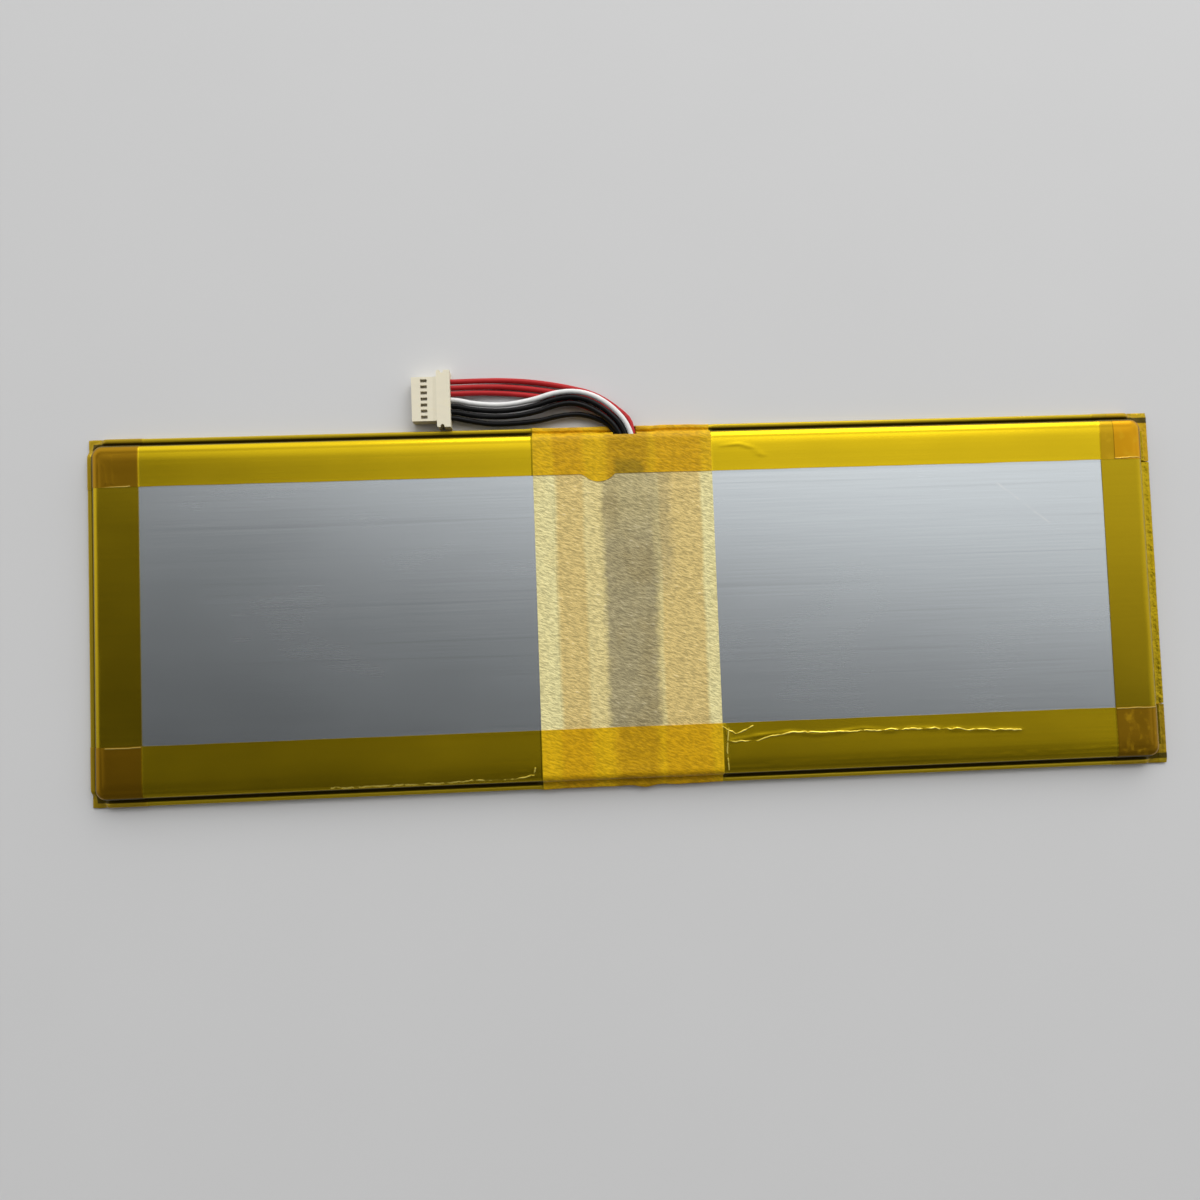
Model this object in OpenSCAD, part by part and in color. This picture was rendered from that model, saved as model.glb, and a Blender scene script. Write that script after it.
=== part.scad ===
// Flat tablet battery: two lithium pouch cells end to end, a protection board in
// the gap between them, a crepe paper band over the board, amber film folded over
// all four edges, and seven wires that run to a seven-way connector.
// X runs along the pack, Y towards the wires, Z up; the pack lies on Z = 0.

/* [Pack] */
// length over everything, with the film fin at the right end
pack_l = 265; // [180:1:320]
// width over the folded film at both sides
pack_w = 89; // [60:0.5:120]
// thickness of one pouch cell
cell_h = 4; // [3:0.1:6]
// clear gap between the two cell cups
gap_l = 12.6; // [11:0.1:20]
// distance that the sealed rim sticks out beyond the cup
rim_w = 2.5; // [1.5:0.1:4]
// thickness of the folded sealed rim
rim_t = 0.5; // [0.3:0.05:0.8]
// rounding of the cup's top edge
cup_r = 1.2; // [0.5:0.1:2]
// rounding of the cup's corners seen from above
corner_r = 2.2; // [2.1:0.1:4]

/* [Tapes] */
// thickness of the amber film and of the crepe paper band
film_t = 0.1; // [0.08:0.01:0.15]
// amber border on the top face at the wire side
back_cover = 12.4; // [8:0.1:18]
// amber border on the top face at the opposite side
front_cover = 14.7; // [8:0.1:18]
// amber border on the top face at the left end
left_cover = 13.5; // [8:0.1:18]
// amber border on the top face at the right end
right_cover = 13.1; // [8:0.1:18]
// width of the film fin that stands out at the right end
fin_w = 1.7; // [0.6:0.1:3]
// width of the film legs that are folded under the pack
under_cover = 9; // [5:0.5:14]
// left edge of the paper band, from the middle of the gap
paper_x0 = -23.7; // [-30:0.1:-15]
// right edge of the paper band, from the middle of the gap
paper_x1 = 20.3; // [15:0.1:30]
// width of the paper band's legs under the pack
paper_under = 20; // [10:1:30]
// left edge of the amber film under the paper band, from the middle of the gap
inner_x0 = -18.7; // [-22:0.1:-8]
// right edge of the amber film under the paper band, from the middle of the gap
inner_x1 = 17.7; // [8:0.1:18]

/* [Board] */
// length of the protection board
board_l = 72; // [50:1:76]
// width of the protection board
board_w = 10.8; // [10:0.1:11.4]
// thickness of the protection board
board_t = 0.6; // [0.4:0.1:0.8]
// width of one cell tab
tab_w = 5; // [3:0.5:8]

/* [Wires and connector] */
// outer diameter of one wire
wire_d = 1.3; // [1:0.05:1.4]
// distance between neighbouring contacts
pitch = 1.5; // [1.4:0.05:2]
// height of the connector housing
conn_h = 3.9; // [3.6:0.1:5]
// length of the connector's narrow nose
nose_l = 5.2; // [4:0.1:7]
// length of the whole connector housing
conn_l = 9.4; // [8:0.1:12]
// distance that the connector's shoulder stands out at each side of the nose
ear_w = 1.6; // [0.8:0.1:2.2]

/* [Hidden] */
$fn = 48;
ways = 7;
// the cell floor is two films above the ground
z0 = 2 * film_t;
// the fin is at one end only, so the middle of the gap lies left of X = 0
mid_x = -fin_w / 2;
body_l = pack_l - fin_w;
// half sizes of the cup and of the rim
cup_x = body_l / 2 - 2 * film_t - rim_w;
cup_y = pack_w / 2 - 2 * film_t - rim_w;
rim_y = pack_w / 2 - 2 * film_t;
// radius of the film in the groove between cup and rim
groove_r = 0.8;
// half length of the amber film under the paper band
inner_y = 28.5;
big = 400;
// sealed end of each cell, where the tabs come out
seal_l = 5.1;
seal_t = 0.3;
seal_x = gap_l / 2 - seal_l;
// tabs: thickness, lower leg and upper leg above the cell floor
tab_t = 0.1;
tab_z = 0.1;
board_z = z0 + 0.75;
board_top = board_z + board_t;
tab_back = 4.6;
tab_turn_x = 0.55;
tab_ys = [-12, 12];
// wires: the lower layer has four and the upper layer three
wire_r = wire_d / 2;
exit_x = -1.7;
board_x = -0.4;
wire_step = 1.4;
low_z = 2.2;
high_z = 3.41;
low_pad_y = 34.6;
high_pad_y = 29;
exit_w = 5.8;
exit_z0 = 1.45;
exit_z1 = 4.12;
// round tongue of the film at the wire side: place, radius and how far it hangs over the paper
tongue_x = -7.6;
tongue_r = 5;
tongue_out = 1.9;
// connector place: it lies beside the pack, its back face towards +X
conn_back_x = -44.2;
nose_w = pitch * (ways - 1) + 1.9;
conn_w = nose_w + 2 * ear_w;
conn_y = pack_w / 2 + 0.3 + conn_w / 2;
cavity_w = 1.1;
cavity_h = 1.5;
row_z = conn_h / 2;
contact_w = 0.9;

// Profiles of a cell, grown outward by d.

// edge profile from the axis of the corner rounding outward
module edge_profile(d) {
  intersection() {
    translate([0, -5]) square([corner_r + rim_w + 5, cell_h + 10]);
    union() {
      translate([0, -d]) square([corner_r - cup_r, cell_h + 2 * d]);
      translate([0, -d]) square([corner_r + d, cell_h - cup_r + d]);
      translate([corner_r - cup_r, cell_h - cup_r]) circle(r = cup_r + d);
      translate([0, -d]) square([corner_r + rim_w - rim_t / 2, rim_t + 2 * d]);
      translate([corner_r + rim_w - rim_t / 2, rim_t / 2]) circle(r = rim_t / 2 + d);
      groove(d);
    }
  }
}

// concave rounding between the cup wall and the rim
module groove(d) {
  side = film_t + groove_r;
  difference() {
    translate([corner_r - 0.5, rim_t - 0.1]) square([side + 0.5, side + 0.1]);
    translate([corner_r + side, rim_t + side]) circle(r = side - d);
  }
}

// whole cross profile of the pack, grown outward by d
module cross_profile(d) {
  union() {
    translate([corner_r - cup_y - 0.01, -d]) square([2 * (cup_y - corner_r) + 0.02, cell_h + 2 * d]);
    for (s = [0, 1]) mirror([s, 0]) translate([cup_y - corner_r, 0]) edge_profile(d);
  }
}

// ring between two growths of the cross profile
module cross_ring(d_in, d_out) {
  difference() {
    cross_profile(d_out);
    cross_profile(d_in);
  }
}

// stretch of the pack along X from x_from to x_to
module along_x(x_from, x_to) {
  translate([x_from, 0, z0]) rotate([90, 0, 90]) linear_extrude(height = x_to - x_from) children();
}

// rounded end of a cup with its rim, grown outward by d, the axis of the corners at X = 0
module cup_end(d) {
  union() {
    translate([0, 0, z0]) rotate([90, 0, 0])
      linear_extrude(height = 2 * (cup_y - corner_r), center = true) edge_profile(d);
    for (s = [-1, 1]) translate([0, s * (cup_y - corner_r), z0]) rotate_extrude() edge_profile(d);
  }
}

// right end of the pack, from X = x_in outward, grown outward by d
module pack_end(d, x_in) {
  union() {
    along_x(x_in, cup_x - corner_r) cross_profile(d);
    translate([cup_x - corner_r, 0, 0]) cup_end(d);
  }
}

// Cells.

// cell at the right: cup, rim all round and the flat sealed end towards the middle
module cell() {
  union() {
    pack_end(0, gap_l / 2 + corner_r);
    translate([gap_l / 2 + corner_r, 0, 0]) mirror([1, 0, 0]) cup_end(0);
    translate([seal_x, -rim_y + 1, z0]) cube([seal_l + 1, 2 * rim_y - 2, seal_t]);
  }
}

module cell_right() {
  color([0.72, 0.74, 0.76]) translate([mid_x, 0, 0]) cell();
}

module cell_left() {
  color([0.72, 0.74, 0.76]) translate([mid_x, 0, 0]) mirror([1, 0, 0]) cell();
}

// Amber film and paper.

// film folded over an end, with its top and bottom legs
module end_film(cover) {
  x_top = body_l / 2 - cover;
  x_under = body_l / 2 - under_cover;
  x_in = min(x_top, x_under) - 2;
  intersection() {
    difference() {
      pack_end(film_t, x_in);
      pack_end(0, x_in - 1);
    }
    union() {
      translate([x_top, -cup_y, z0 + cell_h / 2]) cube([big, 2 * cup_y, big]);
      translate([x_under, -cup_y, z0 - 1]) cube([big, 2 * cup_y, cell_h / 2 + 1]);
    }
  }
}

// outline of the rim from above, grown outward by d
module rim_plan(d) {
  axis_x = cup_x - corner_r;
  axis_y = cup_y - corner_r;
  union() {
    square([2 * (axis_x + corner_r + rim_w + d), 2 * axis_y], center = true);
    square([2 * axis_x, 2 * (axis_y + corner_r + rim_w + d)], center = true);
    for (x = [-1, 1], y = [-1, 1]) translate([x * axis_x, y * axis_y]) circle(r = corner_r + rim_w + d);
  }
}

// fin of the right end between two places along Y: top and bottom film stuck together
module fin(d, y_from, y_to) {
  x_from = cup_x - corner_r + 1;
  translate([0, 0, z0 + rim_t / 2 - film_t]) linear_extrude(height = 2 * film_t) difference() {
    translate([x_from, y_from]) square([body_l / 2 + fin_w - x_from, y_to - y_from]);
    rim_plan(d);
  }
}

module film_right() {
  color([0.85, 0.65, 0.1]) translate([mid_x, 0, 0]) union() {
    end_film(right_cover);
    fin(film_t / 2, front_cover + film_t - pack_w / 2, pack_w / 2 - back_cover - film_t);
  }
}

module film_left() {
  color([0.85, 0.65, 0.1]) translate([mid_x, 0, 0]) mirror([1, 0, 0]) end_film(left_cover);
}

// what a film over a long side keeps: its top leg, its edge and its bottom leg
module side_mask(cover) {
  translate([pack_w / 2 - cover, cell_h / 2]) square([big, big]);
  translate([pack_w / 2 - under_cover, -1]) square([big, cell_h / 2 + 1]);
}

// straight stretch of a side film, between two growths of the pack
module side_run(cover, d_in, d_out, x_from, x_to) {
  along_x(x_from, x_to) intersection() {
    cross_ring(d_in, d_out);
    side_mask(cover);
  }
}

// wrapped corner of a side film, over the end film
module side_corner(cover, end_cover) {
  x_top = body_l / 2 - end_cover - film_t;
  x_under = body_l / 2 - under_cover - film_t;
  x_in = min(x_top, x_under) - 2;
  intersection() {
    difference() {
      pack_end(2 * film_t, x_in);
      pack_end(film_t, x_in - 1);
    }
    union() {
      translate([x_top, pack_w / 2 - cover, z0 + cell_h / 2 - film_t]) cube([big, big, big]);
      translate([x_under, pack_w / 2 - under_cover, z0 - 1]) cube([big, big, cell_h / 2 + 1]);
    }
  }
}

// lower and upper halves of a side film end at different lines, over the end film
module side_half(cover, upper, x_from, x_to) {
  along_x(x_from, x_to) intersection() {
    cross_ring(0, film_t);
    side_mask(cover);
    translate([0, upper ? cell_h / 2 : cell_h / 2 - big]) square([big, big]);
  }
}

// film over a long side: one film thickness higher over the paper and over both ends
module side_film(cover) {
  union() {
    side_run(cover, film_t, 2 * film_t, paper_x0 - film_t, paper_x1 + film_t);
    for (upper = [false, true]) {
      side_half(cover, upper, (upper ? left_cover : under_cover) - body_l / 2, paper_x0);
      side_half(cover, upper, paper_x1, body_l / 2 - (upper ? right_cover : under_cover));
    }
    side_corner(cover, right_cover);
    fin(1.5 * film_t, pack_w / 2 - cover, pack_w / 2);
    mirror([1, 0, 0]) side_corner(cover, left_cover);
  }
}

// slit in the folded tapes where the wires come out
module wire_exit() {
  translate([exit_x - mid_x - exit_w / 2, cup_y - corner_r, exit_z0])
    cube([exit_w, 10, exit_z1 - exit_z0]);
}

// film at the wire side, with the small tongue that hangs over the paper
module film_back() {
  color([0.85, 0.65, 0.1]) translate([mid_x, 0, 0]) difference() {
    union() {
      side_film(back_cover);
      translate([tongue_x, pack_w / 2 - back_cover + tongue_r - tongue_out, z0 + cell_h + film_t])
        linear_extrude(height = film_t) circle(r = tongue_r);
    }
    wire_exit();
  }
}

module film_front() {
  color([0.85, 0.65, 0.1]) translate([mid_x, 0, 0]) mirror([0, 1, 0]) side_film(front_cover);
}

// amber film over the board and the cell ends
module inner_film() {
  color([0.8, 0.5, 0.1])
    translate([mid_x + inner_x0, -inner_y, z0 + cell_h]) cube([inner_x1 - inner_x0, 2 * inner_y, film_t]);
}

// crepe paper over the middle, folded under at both sides, raised over the inner film
module paper_band() {
  step = film_t;
  color([0.87, 0.8, 0.6]) translate([mid_x, 0, 0]) difference() {
    union() {
      along_x(paper_x0, paper_x1) difference() {
        cross_ring(0, film_t);
        translate([paper_under - pack_w / 2, -5]) square([pack_w - 2 * paper_under, 5 + cell_h / 2]);
      }
      translate([inner_x0 - step, -inner_y - step, z0 + cell_h + film_t])
        cube([inner_x1 - inner_x0 + 2 * step, 2 * (inner_y + step), film_t]);
    }
    translate([inner_x0, -inner_y, z0 + cell_h - 1]) cube([inner_x1 - inner_x0, 2 * inner_y, film_t + 1]);
    wire_exit();
  }
}

// Tabs and insulation in the gap.

// paper strip that keeps the board off a sealed cell end
module seal_paper() {
  translate([seal_x, -30, z0 + seal_t]) cube([gap_l / 2 - rim_w - seal_x, 60, 0.1]);
}

module seal_paper_right() {
  color([0.75, 0.55, 0.3]) translate([mid_x, 0, 0]) seal_paper();
}

module seal_paper_left() {
  color([0.75, 0.55, 0.3]) translate([mid_x, 0, 0]) mirror([1, 0, 0]) seal_paper();
}

// tab of the right cell: out of the sealed end, round a turn and back under the board
module cell_tab(y_mid) {
  upper = board_z - z0 - tab_t;
  turn_r = (upper + tab_t - tab_z) / 2;
  translate([0, y_mid + tab_w / 2, z0]) rotate([90, 0, 0]) linear_extrude(height = tab_w) union() {
    translate([tab_turn_x, tab_z]) square([seal_x - tab_turn_x, tab_t]);
    translate([tab_turn_x, upper]) square([tab_back - tab_turn_x, tab_t]);
    intersection() {
      translate([tab_turn_x - 5, 0]) square([5, 5]);
      translate([tab_turn_x, tab_z + turn_r]) difference() {
        circle(r = turn_r);
        circle(r = turn_r - tab_t);
      }
    }
  }
}

module tab_right_minus() {
  color([0.8, 0.78, 0.7]) translate([mid_x, 0, 0]) cell_tab(tab_ys[0]);
}

module tab_right_plus() {
  color([0.75, 0.77, 0.8]) translate([mid_x, 0, 0]) cell_tab(tab_ys[1]);
}

module tab_left_minus() {
  color([0.8, 0.78, 0.7]) translate([mid_x, 0, 0]) mirror([1, 0, 0]) cell_tab(tab_ys[0]);
}

module tab_left_plus() {
  color([0.75, 0.77, 0.8]) translate([mid_x, 0, 0]) mirror([1, 0, 0]) cell_tab(tab_ys[1]);
}

// Protection board.

module board() {
  color([0.1, 0.3, 0.2]) translate([board_x, 0, board_z]) linear_extrude(height = board_t) difference() {
    translate([-board_w / 2, -board_l / 2]) square([board_w, board_l]);
    for (s = [-1, 1]) translate([s * board_w / 2, -board_l / 2 + 6]) circle(r = 0.8);
  }
}

// flat chip with bent leads along both long sides
module lead_chip(body_l, body_w, body_h, leads, lead_step) {
  foot = 0.6;
  lead_t = 0.2;
  union() {
    translate([-body_l / 2, -body_w / 2, 0.1]) cube([body_l, body_w, body_h - 0.1]);
    for (s = [0, 1]) mirror([0, s, 0]) for (i = [0 : leads - 1])
      translate([(i - (leads - 1) / 2) * lead_step - 0.12, body_w / 2, 0])
        rotate([90, 0, 90]) linear_extrude(height = 0.24)
          polygon([[-0.1, 0.4], [0.3, 0.4], [0.4, lead_t], [0.3 + foot, lead_t], [0.3 + foot, 0],
            [0.25, 0], [0.15, 0.2], [-0.1, 0.2]]);
  }
}

module switch_chip_1() {
  color([0.1, 0.1, 0.11]) translate([board_x, 2, board_top]) rotate([0, 0, 90])
    lead_chip(3, 4.4, 1, 4, 0.65);
}

module switch_chip_2() {
  color([0.1, 0.1, 0.11]) translate([board_x, -3.5, board_top]) rotate([0, 0, 90])
    lead_chip(3, 4.4, 1, 4, 0.65);
}

module control_chip() {
  color([0.12, 0.12, 0.13]) translate([board_x, 10, board_top]) lead_chip(2.9, 1.6, 1.1, 3, 0.95);
}

// sense resistor with its two solder caps
module sense_resistor() {
  color([0.15, 0.15, 0.16]) translate([board_x, -10, board_top]) union() {
    translate([-2.6, -1.25, 0.05]) cube([5.2, 2.5, 0.5]);
    for (s = [-1, 1]) translate([s * 2.8 - 0.5, -1.25, 0]) cube([1, 2.5, 0.6]);
  }
}

// small chip part: body with raised end caps
module small_part(part_l, part_w, part_h) {
  cap = part_l / 5;
  union() {
    translate([-part_l / 2, -part_w / 2 + 0.03, 0.03]) cube([part_l, part_w - 0.06, part_h - 0.06]);
    for (s = [-1, 1]) translate([s * (part_l - cap) / 2 - cap / 2, -part_w / 2, 0])
      cube([cap, part_w, part_h]);
  }
}

module chip_resistors() {
  color([0.14, 0.14, 0.15]) for (y = [14, 16, 18, 20]) translate([board_x - 2, y, board_top])
    small_part(1.6, 0.8, 0.45);
}

module chip_capacitors() {
  color([0.7, 0.6, 0.45]) for (y = [14, 17, 20]) translate([board_x + 2.2, y, board_top])
    small_part(1.6, 0.8, 0.8);
}

// thermistor bead lying against the board's far half
module thermistor() {
  color([0.1, 0.1, 0.1]) translate([board_x, -20, board_top]) small_part(2, 1.25, 0.9);
}

// Wires.

// places of the wires along X in the exit, from the lower and the upper layer
low_xs = [for (i = [0 : 3]) exit_x + (i - 1.5) * wire_step];
high_xs = [for (i = [0 : 2]) exit_x + (i - 1) * wire_step];

// solder of the seven wires in two rows, each with the bare end of its wire
module wire_joints() {
  color([0.75, 0.75, 0.77]) {
    for (x = low_xs) translate([x, low_pad_y, board_top]) joint();
    for (x = high_xs) translate([x, high_pad_y, board_top]) joint();
  }
}

// one lump of solder: high at the wire, falling away from it
module joint() {
  top = low_z - board_top + 0.35;
  translate([-0.45, 0, 0]) rotate([90, 0, 90]) linear_extrude(height = 0.9)
    polygon([[0, 0], [0, top], [-0.5, top], [-1.1, top * 0.6], [-1.5, 0.15], [-1.6, 0]]);
}

// way of the contact number i, counted from the side away from the pack
function way_y(i) = conn_y + (3 - i) * pitch;

// route points after the exit; each ends at the connector's back face
red_1_path = [
  [low_xs[3], low_pad_y, low_z], [low_xs[3], 42.4, low_z], [-0.4, 45.9, 1.8], [-2.8, 48.5, 1.3],
  [-5.8, 50.9, 1], [-9.7, 53, 0.9], [-14.1, 54.3, 0.8], [-21, 55.7, 0.8], [-31.5, 56.7, 0.9],
  [-38, 56.6, 1.4], [conn_back_x, way_y(0), row_z]
];
red_2_path = [
  [low_xs[2], low_pad_y, low_z], [low_xs[2], 42.4, low_z], [-1.7, 45.3, 1.9], [-4, 47.5, 1.4],
  [-6.9, 49.6, 1], [-10.4, 51.5, 0.85], [-14.6, 52.7, 0.8], [-21.5, 54, 0.8], [-31.5, 55.1, 0.9],
  [-38, 55.1, 1.4], [conn_back_x, way_y(1), row_z]
];
red_3_path = [
  [low_xs[1], low_pad_y, low_z], [low_xs[1], 42.4, low_z], [-3.1, 44.8, 2], [-5.2, 46.6, 1.4],
  [-8, 48.2, 1], [-11.3, 49.8, 0.85], [-15, 51, 0.8], [-22, 52.4, 0.8], [-32, 53.5, 0.9],
  [-38.5, 53.6, 1.4], [conn_back_x, way_y(2), row_z]
];
white_path = [
  [high_xs[2], high_pad_y, low_z], [high_xs[2], 33, high_z], [high_xs[2], 42.4, high_z],
  [-1.6, 45.3, 3.4], [-3.6, 47.8, 3.2], [-6.3, 50.2, 3], [-10, 52.3, 2.6], [-14.2, 53.2, 2.3],
  [-18.5, 52.9, 2.2], [-24, 51.4, 2.2], [-31.5, 50.3, 2.15], [-38.5, 50.8, 2],
  [conn_back_x, way_y(3), row_z]
];
black_1_path = [
  [high_xs[1], high_pad_y, low_z], [high_xs[1], 33, high_z], [high_xs[1], 42.4, high_z],
  [-2.9, 44.8, 3.4], [-4.8, 46.9, 3.2], [-7.4, 49.1, 3], [-10.8, 51, 2.6], [-14.4, 51.8, 2.3],
  [-18.3, 51.4, 2.2], [-23.5, 49.9, 2.2], [-31.5, 48.8, 2.15], [-38.5, 49.3, 2],
  [conn_back_x, way_y(4), row_z]
];
black_2_path = [
  [high_xs[0], high_pad_y, low_z], [high_xs[0], 33, high_z], [high_xs[0], 42.4, high_z],
  [-4.2, 44.2, 3.4], [-6, 46.1, 3.2], [-8.6, 48, 3], [-11.6, 49.6, 2.6], [-14.7, 50.3, 2.3],
  [-18.2, 49.9, 2.2], [-23, 48.4, 2.2], [-31.5, 47.3, 2.2], [-38.5, 47.8, 2.1],
  [conn_back_x, way_y(5), row_z]
];
black_3_path = [
  [low_xs[0], low_pad_y, low_z], [low_xs[0], 42.4, low_z], [-5.3, 44.5, 2], [-8.6, 46.5, 1.7],
  [-12.7, 47.6, 1.5], [-17.7, 47.3, 1.5], [-22.5, 46.3, 1.5], [-28, 45.8, 1.5], [-35, 45.8, 1.6],
  [-40, 46.6, 1.8], [conn_back_x, way_y(6), row_z]
];

function unit(v) = v / norm(v);
// direction of a route at point i: along Y at its start and along X at its end
function way(p, i) = i == 0 ? [0, 1, 0] : i == len(p) - 1 ? [-1, 0, 0]
  : unit(unit(p[i + 1] - p[i]) + unit(p[i] - p[i - 1]));
// ring of eight points round point i of a route
function ring(p, i) = let (d = way(p, i), s = unit(cross(d, [0, 0, 1])), u = cross(s, d))
  [for (k = [0 : 7]) p[i] + wire_r * (cos(45 * k + 22.5) * s + sin(45 * k + 22.5) * u)];

// round wire along a route
module wire(p) {
  n = len(p);
  polyhedron(
    points = [for (i = [0 : n - 1]) each ring(p, i)],
    faces = concat(
      [[for (k = [0 : 7]) k]],
      [for (i = [0 : n - 2], k = [0 : 7]) [8 * i + k, 8 * i + 8 + k, 8 * i + (k + 1) % 8]],
      [for (i = [0 : n - 2], k = [0 : 7]) [8 * i + (k + 1) % 8, 8 * i + 8 + k, 8 * i + 8 + (k + 1) % 8]],
      [[for (k = [7 : -1 : 0]) 8 * (n - 1) + k]]
    )
  );
}

module wire_red_1() {
  color([0.75, 0.08, 0.08]) wire(red_1_path);
}

module wire_red_2() {
  color([0.75, 0.08, 0.08]) wire(red_2_path);
}

module wire_red_3() {
  color([0.75, 0.08, 0.08]) wire(red_3_path);
}

module wire_white() {
  color([0.9, 0.9, 0.88]) wire(white_path);
}

module wire_black_1() {
  color([0.06, 0.06, 0.06]) wire(black_1_path);
}

module wire_black_2() {
  color([0.06, 0.06, 0.06]) wire(black_2_path);
}

module wire_black_3() {
  color([0.06, 0.06, 0.06]) wire(black_3_path);
}

// Connector.

// outline of the housing from above: narrow nose, bevel and wide shoulder with rounded ends
module housing_plan() {
  bevel = 0.9;
  nose_x = conn_back_x - conn_l;
  shoulder_x = nose_x + nose_l + bevel;
  union() {
    translate([nose_x, conn_y - nose_w / 2]) square([conn_l, nose_w]);
    translate([shoulder_x + 0.4, conn_y - conn_w / 2])
      square([conn_back_x - shoulder_x - 0.4, conn_w]);
    translate([shoulder_x, conn_y - conn_w / 2 + 0.4])
      square([conn_back_x - shoulder_x, conn_w - 0.8]);
    for (s = [-1, 1]) translate([shoulder_x + 0.4, conn_y + s * (conn_w / 2 - 0.4)]) circle(r = 0.4);
  }
}

// moulded housing: seven cavities, lance windows on top, guide ribs below the nose
module connector() {
  nose_x = conn_back_x - conn_l;
  nose_h = conn_h - 0.6;
  color([0.93, 0.9, 0.8]) difference() {
    linear_extrude(height = conn_h) housing_plan();
    translate([nose_x - 1, conn_y - conn_w, nose_h + 0.3]) rotate([90, 0, 90])
      linear_extrude(height = nose_l + 1) square([2 * conn_w, 2]);
    translate([nose_x - 1, conn_y - nose_w / 2 - 0.01, -0.01])
      cube([nose_l + 1, nose_w + 0.02, 0.31]);
    translate([0, conn_y + conn_w, 0]) rotate([90, 0, 0]) linear_extrude(height = 2 * conn_w)
      polygon([[nose_x + nose_l, conn_h + 1], [nose_x + nose_l, nose_h + 0.3],
        [nose_x + nose_l + 0.9, conn_h], [nose_x + nose_l + 0.9, conn_h + 1]]);
    for (i = [0 : ways - 1]) {
      translate([nose_x - 1, way_y(i) - cavity_w / 2, row_z - cavity_h / 2])
        cube([conn_l + 2, cavity_w, cavity_h]);
      translate([nose_x + 2.2, way_y(i) - 0.4, row_z]) cube([1.6, 0.8, conn_h]);
    }
    for (s = [-1, 1]) translate([nose_x + nose_l + 2.2, conn_y + s * (conn_w / 2 - 0.2), -1])
      cylinder(r = 0.5, h = conn_h + 2);
  }
}

// one crimped contact: box spring at the nose, neck, and the barrel at the wire
module contact() {
  z_low = -cavity_h / 2;
  box_l = 3.6;
  union() {
    difference() {
      translate([-conn_l + 0.8, -contact_w / 2, z_low]) cube([box_l, contact_w, 1.2]);
      translate([-conn_l + 0.7, -contact_w / 2 + 0.15, z_low + 0.2])
        cube([box_l + 0.2, contact_w - 0.3, 0.8]);
    }
    translate([-conn_l + 0.8 + box_l - 0.1, -contact_w / 2, z_low]) cube([2.4, contact_w, 0.2]);
    difference() {
      translate([-2.8, -contact_w / 2, z_low]) cube([2.8, contact_w, 1.1]);
      translate([-2.9, 0, 0.2]) rotate([0, 90, 0]) cylinder(r = 0.25, h = 1.4);
      translate([-1.6, -contact_w, z_low + 0.5]) cube([0.4, 2 * contact_w, 2]);
    }
  }
}

module contacts() {
  color([0.8, 0.75, 0.6]) for (i = [0 : ways - 1]) translate([conn_back_x, way_y(i), row_z]) contact();
}

cell_left();
cell_right();
film_left();
film_right();
film_back();
film_front();
paper_band();
inner_film();
seal_paper_left();
seal_paper_right();
tab_left_minus();
tab_left_plus();
tab_right_minus();
tab_right_plus();
board();
switch_chip_1();
switch_chip_2();
control_chip();
sense_resistor();
chip_resistors();
chip_capacitors();
thermistor();
wire_joints();
wire_red_1();
wire_red_2();
wire_red_3();
wire_white();
wire_black_1();
wire_black_2();
wire_black_3();
connector();
contacts();
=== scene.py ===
"""Flat tablet battery: two foil pouch cells wrapped in amber film, a band of crepe paper
over the protection board, and seven wires to a connector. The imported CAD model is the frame;
this file adds the film, the paper, the wires and every finish, and lights the whole."""

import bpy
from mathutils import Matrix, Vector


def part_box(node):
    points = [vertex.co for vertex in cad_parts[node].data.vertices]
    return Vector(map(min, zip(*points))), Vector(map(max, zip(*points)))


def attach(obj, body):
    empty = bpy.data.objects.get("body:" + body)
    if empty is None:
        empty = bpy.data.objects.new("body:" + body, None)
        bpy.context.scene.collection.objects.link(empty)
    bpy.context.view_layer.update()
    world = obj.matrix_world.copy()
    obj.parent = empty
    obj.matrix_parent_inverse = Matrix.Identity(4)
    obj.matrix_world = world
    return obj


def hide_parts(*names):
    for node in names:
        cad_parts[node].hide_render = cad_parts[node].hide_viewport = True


bl_info = {
    "name": "Flat tablet battery",
    "version": (1, 0, 0),
    "blender": (4, 5, 0),
    "location": "3D View > Sidebar > Battery",
    "description": "Builds the film, paper, wires and finishes of a flat tablet battery",
    "category": "Object",
}

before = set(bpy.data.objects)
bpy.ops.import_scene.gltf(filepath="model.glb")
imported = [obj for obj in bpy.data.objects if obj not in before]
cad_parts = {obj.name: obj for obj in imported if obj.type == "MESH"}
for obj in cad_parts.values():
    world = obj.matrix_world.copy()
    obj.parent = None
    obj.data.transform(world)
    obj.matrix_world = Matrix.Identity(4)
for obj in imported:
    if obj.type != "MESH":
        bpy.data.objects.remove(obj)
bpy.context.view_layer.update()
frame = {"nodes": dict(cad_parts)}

from math import radians

import bpy
import numpy as np
from bpy.props import FloatProperty, FloatVectorProperty, PointerProperty
from mathutils import Matrix

MM = 0.001


def box_mm(node):
    """Lowest and highest corner of a CAD node, in millimetres."""
    return [np.array(corner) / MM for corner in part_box(node)]


# Sizes and places in millimetres

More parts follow.
